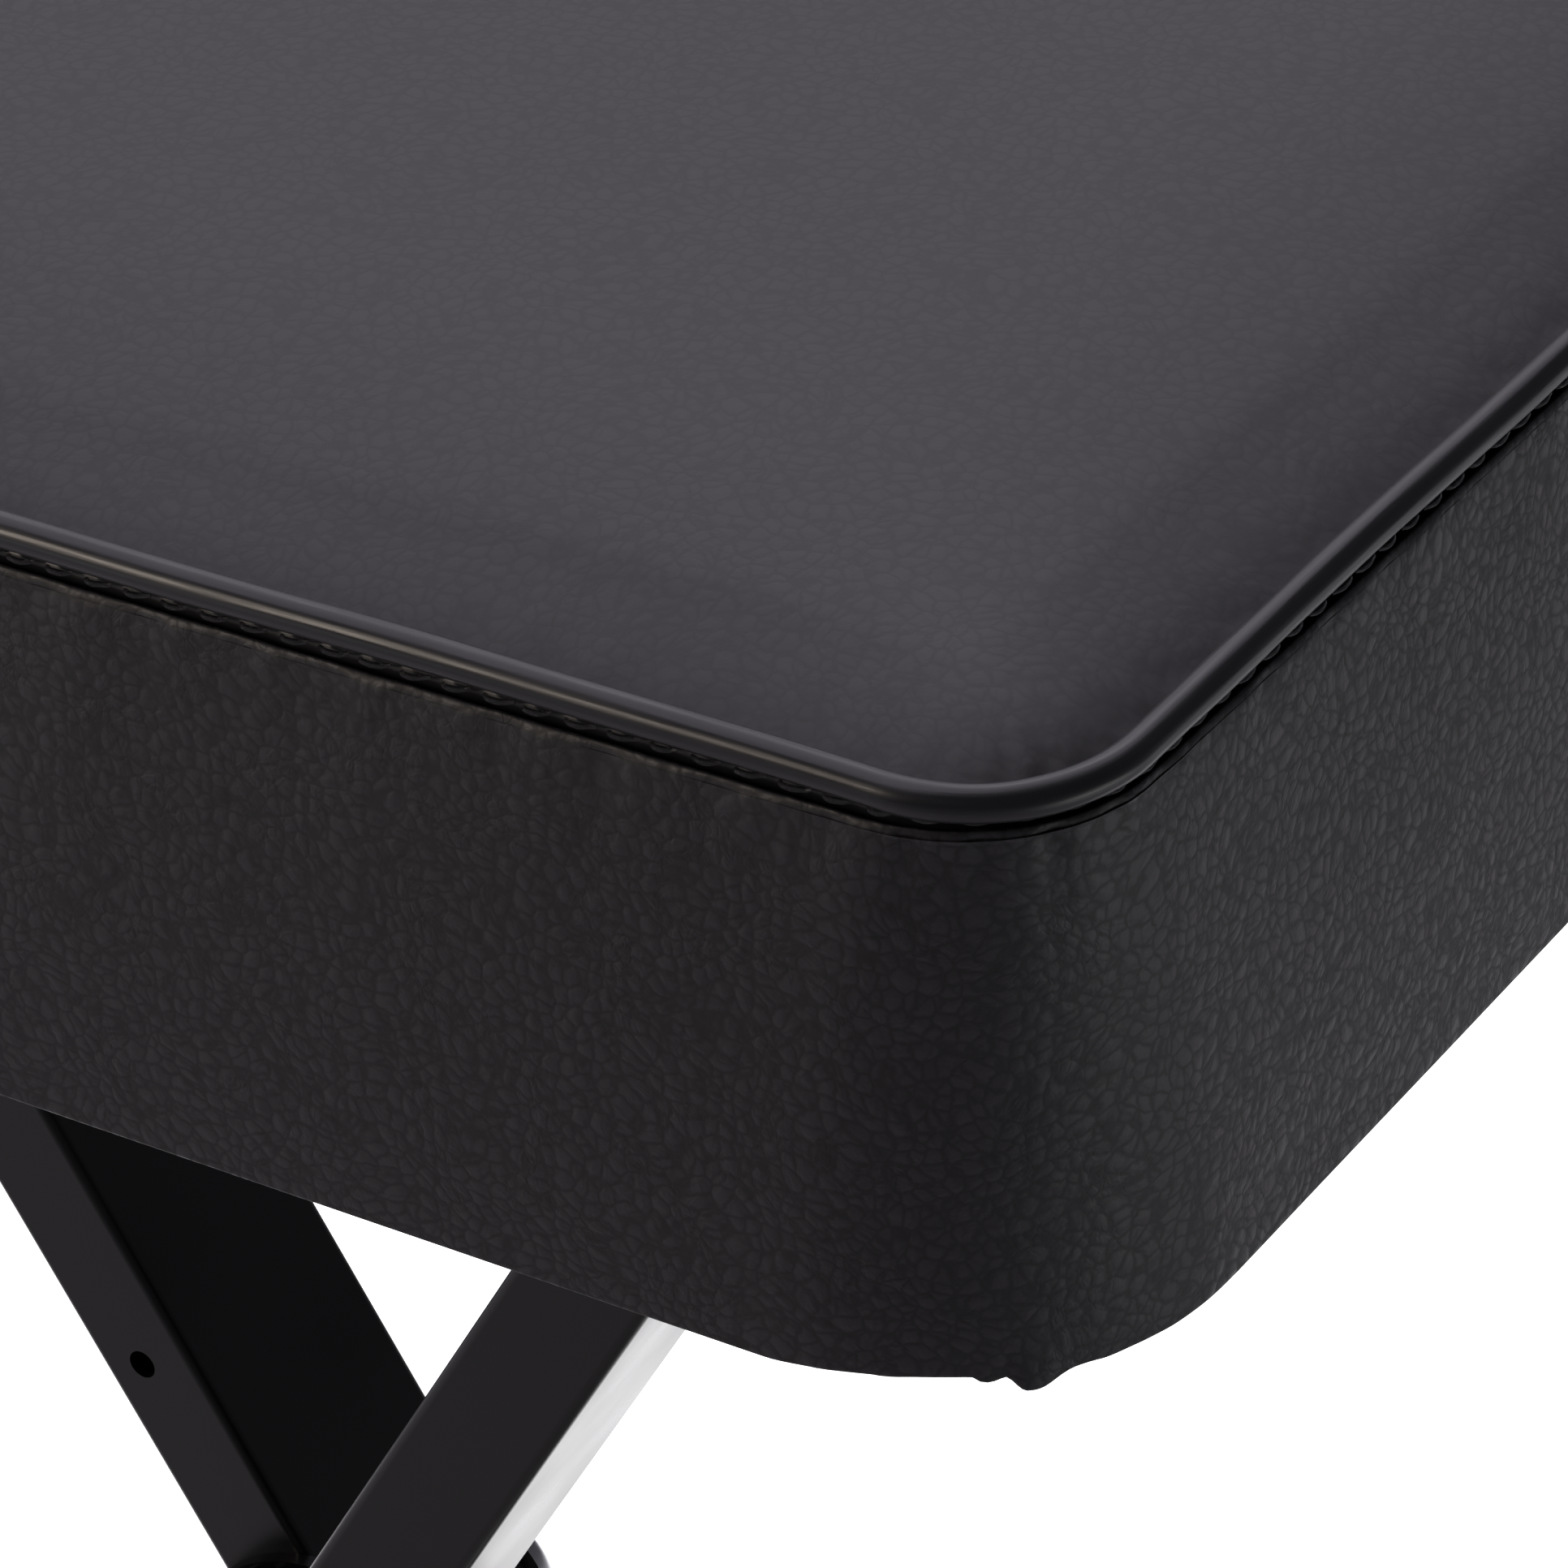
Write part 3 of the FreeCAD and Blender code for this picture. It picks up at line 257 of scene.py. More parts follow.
def turnedBrass():
    # Free-cutting brass, turned: warm yellow with fine lathe rings.
    material, tree, place = startMaterial("turned brass", {"Metallic": 1.0})
    rings = addNode(tree, "ShaderNodeTexWave", {
        "Vector": place, "Scale": 1 / (0.5 * mm) / 20, "Distortion": 0.3}, bands_direction="Y")
    colour = addNode(tree, "ShaderNodeMix", {
        0: rings.outputs["Fac"], 6: paint("#b08f4a"), 7: paint("#d2b36b")}, data_type="RGBA")
    rough = addNode(tree, "ShaderNodeMapRange", {
        "Value": rings.outputs["Fac"], "To Min": 0.2, "To Max": 0.36})
    bump = addNode(tree, "ShaderNodeBump", {
        "Height": rings.outputs["Fac"], "Strength": 0.4, "Distance": 0.02 * mm})
    return dress(material, colour.outputs[2], rough.outputs["Result"], bump.outputs["Normal"])


def poplarPly():
    # Rotary-cut poplar veneers, 1.7 mm each: pale straw faces with long grain, edges in two tones.
    material, tree, place = startMaterial("poplar ply", {"Roughness": 0.6, "IOR": 1.45})
    long = addNode(tree, "ShaderNodeVectorMath", {0: place, 1: (1.0, 12.0, 12.0)}, operation="MULTIPLY")
    grain = addNode(tree, "ShaderNodeTexNoise", {"Vector": long.outputs[0], "Scale": 40.0, "Detail": 6.0})
    plies = addNode(tree, "ShaderNodeTexWave", {
        "Vector": place, "Scale": 1 / (3.4 * mm) / 3.2, "Distortion": 0.1}, bands_direction="Z")
    wood = addNode(tree, "ShaderNodeMix", {
        0: grain.outputs["Fac"], 6: paint("#b78f5f"), 7: paint("#dcc096")}, data_type="RGBA")
    colour = addNode(tree, "ShaderNodeMix", {
        0: plies.outputs["Fac"], 6: wood.outputs[2], 7: paint("#c9a877")}, data_type="RGBA")
    bump = addNode(tree, "ShaderNodeBump", {
        "Height": grain.outputs["Fac"], "Strength": 0.4, "Distance": 0.1 * mm})
    return dress(material, colour.outputs[2], None, bump.outputs["Normal"])


def spunbond():
    # Spunbonded polypropylene, heat-bonded at small diamonds: black, dry, faintly quilted.
    material, tree, place = startMaterial("spunbond sheet", {
        "Roughness": 0.85, "Sheen Weight": 0.25, "Sheen Roughness": 0.5})
    turned = addNode(tree, "ShaderNodeMapping", {
        "Vector": place, "Rotation": (0.0, 0.0, math.pi / 4), "Scale": (1 / (1.6 * mm),) * 3})
    bonds = addNode(tree, "ShaderNodeTexVoronoi", {
        "Vector": turned.outputs[0], "Scale": 1.0, "Randomness": 0.0}, feature="F1", distance="MANHATTAN",
        voronoi_dimensions="2D")
    bond = addNode(tree, "ShaderNodeMapRange", {
        "Value": bonds.outputs["Distance"], "From Min": 0.2, "From Max": 0.34})
    fibres = addNode(tree, "ShaderNodeTexNoise", {
        "Vector": place, "Scale": 1 / (0.5 * mm), "Detail": 4.0, "Distortion": 2.0})
    height = addNode(tree, "ShaderNodeMath", {
        0: fibres.outputs["Fac"], 1: 0.5, 2: bond.outputs["Result"]}, operation="MULTIPLY_ADD")
    colour = addNode(tree, "ShaderNodeMix", {
        0: fibres.outputs["Fac"], 6: paint("#141415"), 7: paint("#232325")}, data_type="RGBA")
    bump = addNode(tree, "ShaderNodeBump", {
        "Height": height.outputs[0], "Strength": 0.9, "Distance": 0.1 * mm})
    return dress(material, colour.outputs[2], None, bump.outputs["Normal"])


def cutFoam():
    # Flexible polyurethane foam, hot-wire cut: cream, open cells about half a millimetre wide.
    material, tree, place = startMaterial("cut foam", {"Roughness": 0.9, "Subsurface Weight": 0.1})
    cells = addNode(tree, "ShaderNodeTexVoronoi", {"Vector": place, "Scale": 1 / (0.8 * mm)})
    colour = addNode(tree, "ShaderNodeMix", {
        0: cells.outputs["Distance"], 6: paint("#e4dcc0"), 7: paint("#bfb48f")}, data_type="RGBA")
    bump = addNode(tree, "ShaderNodeBump", {
        "Height": cells.outputs["Distance"], "Strength": 0.7, "Distance": 0.3 * mm}, invert=True)
    return dress(material, colour.outputs[2], None, bump.outputs["Normal"])


finish = {
    "band": pebbleLeatherette("band leatherette", bandGrain),
    "top": pebbleLeatherette("top leatherette", topGrain),
    "welt": weltVinyl(),
    "thread": bondedThread(),
    "powder": powderCoat(),
    "zinc": zincPlate(),
    "rubber": mouldedRubber(),
    "nylon": sparkedPlastic("moulded nylon", "#1b1b1c", "#232324", 0.42, 0.5 * mm),
    "knob": sparkedPlastic("knob plastic", "#19191a", "#212122", 0.5, 0.7 * mm),
    "brass": turnedBrass(),
    "ply": poplarPly(),
    "spunbond": spunbond(),
    "foam": cutFoam(),
}
print("materials made:", len(finish))


# Mesh helpers

def makePiece(name, places, faces, material, alongRound=None):
    mesh = bpy.data.meshes.new(name)
    mesh.from_pydata([tuple(p) for p in places], [], faces)
    mesh.polygons.foreach_set("use_smooth", [True] * len(mesh.polygons))
    if alongRound is not None:  # one pair per face corner: metres along the piece, share round it
        layer = mesh.uv_layers.new(name="UVMap")
        layer.data.foreach_set("uv", np.asarray(alongRound, np.float32).ravel())
    mesh.materials.append(material)
    mesh.update()
    piece = bpy.data.objects.new(name, mesh)
    scene.collection.objects.link(piece)
    return piece


def readPlaces(mesh):
    flat = np.zeros(len(mesh.vertices) * 3)
    mesh.vertices.foreach_get("co", flat)
    return flat.reshape(-1, 3)


def writePlaces(mesh, places):
    mesh.vertices.foreach_set("co", np.asarray(places, float).ravel())
    mesh.update()


def applyModifiers(piece):
    shown = piece.evaluated_get(bpy.context.evaluated_depsgraph_get())
    done = bpy.data.meshes.new_from_object(shown)
    piece.modifiers.clear()
    piece.data = done
    return piece


def finer(piece, levels):
    subdivision = piece.modifiers.new("Finer", "SUBSURF")
    subdivision.levels = levels
    subdivision.render_levels = levels
    return applyModifiers(piece)


def thicken(piece, sheet):
    solid = piece.modifiers.new("Sheet", "SOLIDIFY")
    solid.thickness = sheet
    solid.offset = -1
    return applyModifiers(piece)


def sweep(path, radii, sides, outward, closed=True):
    # Places, faces and face-corner pairs of a tube along a path. outward leads its first side.
    path = np.asarray(path, float)
    count = len(path)
    if closed:
        ahead = np.roll(path, -1, 0) - np.roll(path, 1, 0)
    else:
        ahead = np.gradient(path, axis=0)
    ahead /= np.linalg.norm(ahead, axis=1, keepdims=True)
    outward = np.broadcast_to(np.asarray(outward, float), path.shape)
    side = outward - (outward * ahead).sum(1, keepdims=True) * ahead
    side /= np.linalg.norm(side, axis=1, keepdims=True)
    rise = np.cross(ahead, side)
    turn = np.arange(sides) / sides * 2 * math.pi
    radii = np.broadcast_to(np.asarray(radii, float), (count,))
    ring = np.cos(turn)[None, :, None] * side[:, None] + np.sin(turn)[None, :, None] * rise[:, None]
    places = (path[:, None] + ring * radii[:, None, None]).reshape(-1, 3)
    steps = np.linalg.norm(np.diff(path, axis=0, append=path[:1]), axis=1)
    along = np.concatenate([[0], np.cumsum(steps)])
    faces = []
    pairs = []
    for i in range(count if closed else count - 1):
        for k in range(sides):
            j = (i + 1) % count
            m = (k + 1) % sides
            faces.append((i * sides + k, j * sides + k, j * sides + m, i * sides + m))
            pairs += [(along[i], k / sides), (along[i + 1], k / sides),
                      (along[i + 1], (k + 1) / sides), (along[i], (k + 1) / sides)]
    if not closed:
        first = tuple(range(sides))[::-1]
        last = tuple((count - 1) * sides + k for k in range(sides))
        faces += [first, last]
        pairs += [(0.0, 0.0)] * (2 * sides)
    return places, faces, pairs


def gather(parts):  # several sweeps as one mesh
    places = []
    faces = []
    pairs = []
    start = 0
    for part in parts:
        places.append(part[0])
        faces += [tuple(start + v for v in face) for face in part[1]]
        pairs += part[2]
        start += len(part[0])
    return np.concatenate(places), faces, pairs


# Seat outline: a rounded rectangle, as base points and outward directions

seat = {
    "corner": 38 * mm,         # corner radius in plan, round the board
    "seamCorner": 22.5 * mm,   # tighter corner radius at the upper seam, where the foam fills out
    "cell": 7 * mm,            # mesh cells along the straight sides
    "cornerCells": 8,          # mesh cells across each corner
    "grade": 1.4,              # how much closer the cells lie near the seam
    "panelInset": 2.95 * mm,   # top panel's edge, inside the band's outer face
    "panelRoll": 8 * mm,       # how far the top panel takes to rise from the seam
    "panelLift": 2.6 * mm,     # height of the top panel's edge above the seam
    "lipDrop": 0.9 * mm,       # band's upper edge below the seam line
    "lip": ((1.3, -1.6), (1.0, -0.5), (0.45, 0.0), (0.1, -0.6)),  # mm inset and mm up, of that turned edge
    "edgeRound": 0.9 * mm,     # radius round the board's lower edge
    "sag": 1.1 * mm,           # how far the lower edge hangs below the board between the corners
    "sagTurn": 26,             # degrees round the corner where the pleats hold it up
    "sagReach": 9 * mm,        # how far in it dies away
    "bandRows": 13,            # rows of mesh cells up the band
    "hem": 32 * mm,            # width of the cover's edge under the board
    "hemRows": 7,
    "sheet": 1.2 * mm,         # leatherette thickness
}
halfX, halfY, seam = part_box("seat_boxing")[1]
topLow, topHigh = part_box("seat_top_panel")
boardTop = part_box("seat_board")[1].z
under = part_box("cover_hem")[0].z
baseX = halfX - seat["corner"]
baseY = halfY - seat["corner"]


def gridLine(base):  # straight part and turn into the corner, for each line of the panel's mesh
    share = np.arange(seat["cornerCells"]) / seat["cornerCells"]
    outer = share ** seat["grade"] - 1
    straight = np.linspace(-base, base, 1 + round(2 * base / seat["cell"]))
    lines = np.concatenate([np.full(len(outer), -base), straight, np.full(len(outer), base)])
    turn = np.concatenate([outer, np.zeros(len(straight)), -outer[::-1]])
    return lines, turn


lineX, turnX = gridLine(baseX)
lineY, turnY = gridLine(baseY)
countX = len(lineX)
countY = len(lineY)
gridBase = np.stack(np.meshgrid(lineX, lineY, indexing="ij"), -1)
gridTurn = np.stack(np.meshgrid(turnX, turnY, indexing="ij"), -1)
gridReach = gridTurn * np.sqrt(1 - gridTurn[..., ::-1] ** 2 / 2)  # a square's corner as a quarter disc
edgeLoop = [(i, 0) for i in range(countX)] + [(countX - 1, j) for j in range(1, countY)]
edgeLoop += [(i, countY - 1) for i in range(countX - 2, -1, -1)]
edgeLoop += [(0, j) for j in range(countY - 2, 0, -1)]
loopI, loopJ = np.array(edgeLoop).T
loopBase = gridBase[loopI, loopJ]
loopOut = gridReach[loopI, loopJ]
loopCount = len(edgeLoop)
seamIds = loopI * countY + loopJ  # the panel's outer places in its own mesh


def cornerAt(height):  # corner radius in plan, by height up the band
    share = np.clip((height - under) / (seam - under), 0, 1)
    return seat["corner"] + (seat["seamCorner"] - seat["corner"]) * share ** 1.2


def spread(base, radius):  # base points moved out, for a tighter corner in the same outline
    return base * ((halfX - radius) / baseX, (halfY - radius) / baseY)


def ringAt(inset, height, radius=None):  # one ring of the outline, moved in and set at a height
    radius = cornerAt(height) if radius is None else radius
    flat = spread(loopBase, radius) + loopOut * (radius - inset)
    return np.column_stack([flat, np.full(loopCount, height)])


def outlineOf(places, radius):  # outward direction, distance in from the outline and distance along it
    radius = np.broadcast_to(radius, len(places))
    limit = np.column_stack([halfX - radius, halfY - radius])
    base = np.clip(places[:, :2], -limit, limit)
    away = places[:, :2] - base
    reach = np.linalg.norm(away, axis=1)
    out = away / np.maximum(reach, 1e-9)[:, None]
    turn = np.mod(np.arctan2(out[:, 1], out[:, 0]) + math.pi / 2, 2 * math.pi)
    quarter = np.round(turn / (math.pi / 2), 6)
    long = 2 * baseX
    short = 2 * baseY
    run = base / limit * (baseX, baseY)
    runX = np.select([quarter == 0, quarter < 2, quarter == 2],
                     [run[:, 0] + baseX, long, long + baseX - run[:, 0]], 2 * long)
    runY = np.select([quarter < 1, quarter == 1, quarter < 3, quarter == 3],
                     [0, run[:, 1] + baseY, short, short + baseY - run[:, 1]], 2 * short)
    return out, radius - reach, turn * seat["corner"] + runX + runY


# Cushion: the cover is inflated over its foam by cloth simulation, then dressed

cushion = {
    "frames": 20,             # length of the simulation
    "cloth": {"quality": 5, "mass": 0.3, "tension_stiffness": 40, "compression_stiffness": 40,
              "shear_stiffness": 20, "bending_stiffness": 2, "use_pressure": True,
              "uniform_pressure_force": 4.0, "vertex_group_mass": "held"},
    "crown": 3.5 * mm,        # most that the top may swell
    "bulge": 3.6 * mm,        # most that the side band may swell
    "smoothing": 12,          # rounds of smoothing on the cloth's movement
}


def panelHeight(inset):  # height of the top panel before it swells, by distance from its edge
    edge = topLow.z + seat["panelLift"]
    return edge + (topHigh.z - edge) * (1 - np.exp(-inset / seat["panelRoll"]))


def coverBlank():
    radius = seat["seamCorner"]
    panelReach = radius - seat["panelInset"]
    flat = spread(gridBase, radius) + gridReach * panelReach
    shift = np.abs(flat) - (halfX - radius, halfY - radius)
    inset = panelReach - np.linalg.norm(np.maximum(shift, 0), axis=-1) - np.minimum(shift.max(-1), 0)
    top = np.concatenate([flat, panelHeight(inset)[..., None]], -1).reshape(-1, 3)
    lip = seam - seat["lipDrop"]
    foot = under + seat["edgeRound"]
    rings = [ringAt(inset * mm, lip + rise * mm) for inset, rise in seat["lip"]]
    rings += [ringAt(0, z) for z in np.linspace(lip - 2.5 * mm, foot, seat["bandRows"])]
    for step in (1, 2, 3):
        turn = step / 3 * math.pi / 2
        rings.append(ringAt(seat["edgeRound"] * (1 - math.cos(turn)),
                            foot - seat["edgeRound"] * math.sin(turn)))
    insets = np.linspace(seat["edgeRound"], seat["hem"], seat["hemRows"])[1:]
    hem = [ringAt(inset, under) for inset in insets]
    return top, np.array(rings), np.array(hem)


def gridFaces():
    at = np.arange(countX * countY).reshape(countX, countY)
    return [(at[i, j], at[i + 1, j], at[i + 1, j + 1], at[i, j + 1])
            for i in range(countX - 1) for j in range(countY - 1)]


def ringFaces(count, start=0):
    faces = []
    for r in range(count - 1):
        for k in range(loopCount):
            m = (k + 1) % loopCount
            here = start + r * loopCount
            faces.append((here + k, here + loopCount + k, here + loopCount + m, here + m))
    return faces


def closedFaces(start, count, middle):  # the panel, the rings that follow it and a fan to a middle place
    faces = gridFaces() + ringFaces(count, start)
    last = start + (count - 1) * loopCount
    for k in range(loopCount):
        m = (k + 1) % loopCount
        faces.append((seamIds[k], start + k, start + m, seamIds[m]))
        faces.append((last + k, middle, last + m))
    return faces


def swell(top, rings, hem):
    # Pressure in a closed cloth, held at the seam and the hem. Returns how far each place moved.
    start = len(top)
    places = np.concatenate([top, rings.reshape(-1, 3), hem.reshape(-1, 3), [[0, 0, under]]])
    faces = closedFaces(start, len(rings) + len(hem), len(places) - 1)
    blank = makePiece("coverBlank", places, faces, finish["foam"])
    held = blank.vertex_groups.new(name="held")
    footRow = start + (len(seat["lip"]) + seat["bandRows"] - 1) * loopCount
    pinned = list(seamIds) + list(range(start, start + 3 * loopCount)) + list(range(footRow, len(places)))
    held.add([int(v) for v in pinned], 1.0, "REPLACE")
    cloth = blank.modifiers.new("Cloth", "CLOTH")
    cloth.point_cache.frame_start = 1
    cloth.point_cache.frame_end = cushion["frames"]
    for rule, value in cushion["cloth"].items():
        setattr(cloth.settings, rule, value)
    cloth.settings.effector_weights.gravity = 0
    for step in range(1, cushion["frames"] + 1):
        scene.frame_set(step)
    shown = blank.evaluated_get(bpy.context.evaluated_depsgraph_get())
    moved = readPlaces(shown.to_mesh()) - places
    shown.to_mesh_clear()
    scene.frame_set(1)
    edges = np.array([e.vertices[:] for e in blank.data.edges])
    near = np.bincount(edges.ravel(), minlength=len(places))[:, None]
    bpy.data.objects.remove(blank)
    fixed = np.zeros(len(places), bool)
    fixed[pinned] = True
    for _ in range(cushion["smoothing"]):
        total = np.zeros_like(moved)
        np.add.at(total, edges[:, 0], moved[edges[:, 1]])
        np.add.at(total, edges[:, 1], moved[edges[:, 0]])
        moved = np.where(fixed[:, None], 0, total / near)
    limit = np.where(np.arange(len(places)) < start, cushion["crown"], cushion["bulge"])[:, None]
    size = np.linalg.norm(moved, axis=1, keepdims=True)
    print("cloth moved, in mm, top and band:", round(float(size[:start].max()) / mm, 2),
          round(float(size[start:].max()) / mm, 2))
    moved = moved * limit * np.tanh(size / limit) / np.maximum(size, 1e-9)
    split = start + len(rings) * loopCount
    return moved[:start], moved[start:split].reshape(rings.shape)


pleats = {
    "angles": (9, 21, 38, 45.5, 60, 74),        # degrees round the corner from its long side
    "edge": (0.0, 0.05, 0.65, 1.9, 0.05, 0.0),  # mm that each stands down at the seat's lower edge
    "full": (1.0, 1.3, 1.5, 2.0, 1.4, 1.0),     # mm further in, under the board
    "width": (2.4, 2.4, 2.0, 3.6, 2.4, 2.4),    # mm, on the gentle side
    "steep": 0.5, "sharp": 2.6,                 # share of that width on the steep side, and crest
    "rise": 9 * mm, "end": 20 * mm, "fade": 8 * mm,   # how far in a ridge is full, ends and fades
    "edgeReach": 14 * mm,
}
ripples = {                           # height of the waves, and spacing or size
    "panel": (0.22 * mm, 11 * mm),    # gathers of the top panel along the seam
    "crown": (0.4 * mm, 70 * mm),     # slow lumps on the top
    "lip": (0.32 * mm, 9 * mm),       # gathers of the band along the seam
    "band": (0.22 * mm, 26 * mm),     # longer waves further down
    "bulge": (0.45 * mm, 45 * mm),    # slow lumps on the band
}


def pleatDrop(places):
    # The cover is gathered under each corner: ridges that run in from the edge, steep on one side.
    out, inset, _ = outlineOf(places, seat["corner"])
    reach = seat["corner"] - inset
    turn = np.degrees(np.arctan2(np.abs(out[:, 0]), np.abs(out[:, 1])))
    corner = (np.abs(places[:, 0]) > baseX) & (np.abs(places[:, 1]) > baseY)
    inward = np.clip(inset / pleats["rise"], 0, 1) * np.clip((pleats["end"] - inset) / pleats["fade"], 0, 1)
    drop = np.zeros(len(places))
    rows = zip(pleats["angles"], pleats["edge"], pleats["full"], pleats["width"])
    for angle, edge, full, wide in rows:
        across = np.radians(turn - angle) * np.maximum(reach, 6 * mm)
        width = np.where(across > 0, wide * mm, wide * pleats["steep"] * mm)
        ridge = np.exp(-np.abs(across / width) ** pleats["sharp"])
        height = edge * np.clip(1 - inset / pleats["edgeReach"], 0, 1) + (full - edge * 0.4) * inward
        drop = np.maximum(drop, ridge * height * mm)
    return np.where(corner, drop, 0)


def edgeSag(places):  # the lower edge hangs a little, but not where the pleats pull it up
    out, inset, _ = outlineOf(places, seat["corner"])
    turn = np.degrees(np.arctan2(np.abs(out[:, 0]), np.abs(out[:, 1])))
    share = np.clip(np.abs(turn / seat["sagTurn"] - 1), 0, 1) ** 2
    return seat["sag"] * share * np.exp(-np.maximum(inset, 0) / seat["sagReach"])


def pucker(along, seed, ripple):  # uneven small waves along the outline
    height, spacing = ripple
    dice = random.Random(seed)
    length = 2 * (2 * baseX + 2 * baseY) + 2 * math.pi * seat["corner"]
    wave = np.zeros(len(along))
    for _ in range(5):
        turns = round(length / (spacing * dice.uniform(0.7, 1.6)))
        wave += np.sin(2 * math.pi * (turns * along / length + dice.random())) / 5
    return wave * 1.6 * height


def softLumps(places, ripple):  # slow unevenness, as of a hand-pulled cover over foam
    height, size = ripple
    return height * np.array([noise.noise(Vector(p) / size) for p in places])


def makeCushion():
    top, rings, hem = coverBlank()
    topMove, ringMove = swell(top, rings, hem)
    top = top + topMove
    rings = rings + ringMove

    panel = finer(makePiece("coverTop", top, gridFaces(), finish["top"]), 2)
    places = readPlaces(panel.data)
    out, inset, along = outlineOf(places, seat["seamCorner"])
    inset = inset - seat["panelInset"]
    near = np.exp(-np.maximum(inset, 0) / (6 * mm)) * np.clip(inset / (2 * mm), 0, 1)
    near *= np.clip((seat["seamCorner"] - inset) / (10 * mm), 0, 1)
    places[:, 2] += pucker(along, 3, ripples["panel"]) * near
    places[:, 2] += softLumps(places, ripples["crown"]) * np.clip(inset / (20 * mm), 0, 1)
    writePlaces(panel.data, places)
    thicken(panel, seat["sheet"])

    ringPlaces = rings.reshape(-1, 3)
    band = finer(makePiece("coverBand", ringPlaces, ringFaces(len(rings)), finish["band"]), 2)
    places = readPlaces(band.data)
    out, _, along = outlineOf(places, cornerAt(places[:, 2]))
    below = np.maximum(seam - seat["lipDrop"] - places[:, 2], 0)
    above = np.maximum(places[:, 2] - under, 0)
    atLip = np.exp(-below / (6 * mm)) * np.clip(below / (1.5 * mm), 0, 1)
    lower = np.exp(-below / (22 * mm)) * np.clip(below / (4 * mm), 0, 1)
    between = np.clip(below / (10 * mm), 0, 1) * np.clip(above / (8 * mm), 0, 1)
    sway = pucker(along, 5, ripples["lip"]) * atLip + pucker(along, 8, ripples["band"]) * lower
    sway += softLumps(places, ripples["bulge"]) * between
    drop = pleatDrop(places) * np.exp(-np.maximum(above - 1 * mm, 0) / (2.2 * mm))
    places[:, :2] += out * (sway + drop * 0.35)[:, None]
    places[:, 2] -= drop + edgeSag(places) * np.exp(-above / (12 * mm))
    writePlaces(band.data, places)
    thicken(band, seat["sheet"])

    hemRings = np.concatenate([rings[-1:], hem]).reshape(-1, 3)
    fold = finer(makePiece("coverHem", hemRings, ringFaces(len(hem) + 1), finish["band"]), 2)
    places = readPlaces(fold.data)
    places[:, 2] -= pleatDrop(places) + edgeSag(places)
    writePlaces(fold.data, places)
    thicken(fold, seat["sheet"] * 0.9)
    return panel, band, fold, top


coverTop, coverBand, coverHem, underTop = makeCushion()
for piece, node in ((coverTop, "seat_top_panel"), (coverBand, "seat_boxing"), (coverHem, "cover_hem")):
    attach(piece, "seat")
    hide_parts(node)
print("cushion cover made")


# Welt: glossy cord in the upper seam, its flange and the stitches through the flange

welt = {
    "radius": 2.2 * mm, "corner": 20.5 * mm,          # of the cord, and of its corners in plan
    "inset": 0.7 * mm, "lift": 1.3 * mm,              # cord's middle, inside the seat's outline and raised
    "cornerDip": 1.0 * mm, "dipReach": 26 * mm,       # how the cord is pulled down round the corners
    "wander": (0.16 * mm, 60 * mm), "wave": (0.2 * mm, 80 * mm),    # sideways, up and down
    "uneven": (0.012, 24 * mm), "flangeRipple": (0.1 * mm, 5.5 * mm),
    "step": 1.2 * mm, "sides": 24,
    "flangeInset": 1.9 * mm, "flangeDeep": 6.5 * mm, "flangeRise": 0.8 * mm, "flangeSheet": 0.7 * mm,
    "stitch": 5.5 * mm, "thread": 0.38 * mm, "threadStep": 0.4 * mm,
    "stitchInset": 0.12 * mm, "stitchDrop": 1.0 * mm, "stitchSink": 0.7 * mm,
    "showing": (0.62, 0.74), "endThin": 0.75,         # shares: stitch on top, thread's width at its ends
    "tilt": (0.15 * mm, 0.45 * mm), "jitter": 0.08 * mm,
    "stitchPlaces": 9, "threadSides": 7,
}
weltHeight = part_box("seat_piping")[0].z + welt["radius"] + welt["lift"]


def outlinePath(inset, height, step, corner=seat["seamCorner"]):
    # Evenly spaced points and outward directions, anticlockwise from above.
    radius = corner - inset
    endX = halfX - corner
    endY = halfY - corner
    points = []
    outs = []
    corners = [(1, -1, -90), (1, 1, 0), (-1, 1, 90), (-1, -1, 180)]
    for x, y, start in corners:
        cells = max(4, round(radius * math.pi / 2 / step))
        for k in range(cells):
            turn = math.radians(start + 90 * (k + 0.5) / cells)
            out = (math.cos(turn), math.sin(turn))
            points.append((x * endX + out[0] * radius, y * endY + out[1] * radius, height))
            outs.append((*out, 0.0))
        length = 2 * (endY if start in (-90, 90) else endX)
        cells = round(length / step)
        turn = math.radians(start + 90)
        out = (round(math.cos(turn)), round(math.sin(turn)))
        ahead = (-out[1], out[0])
        for k in range(cells):
            share = length * (k + 0.5) / cells
            points.append((x * endX + out[0] * radius + ahead[0] * share,
                           y * endY + out[1] * radius + ahead[1] * share, height))
            outs.append((*out, 0.0))
    return np.array(points), np.array(outs)


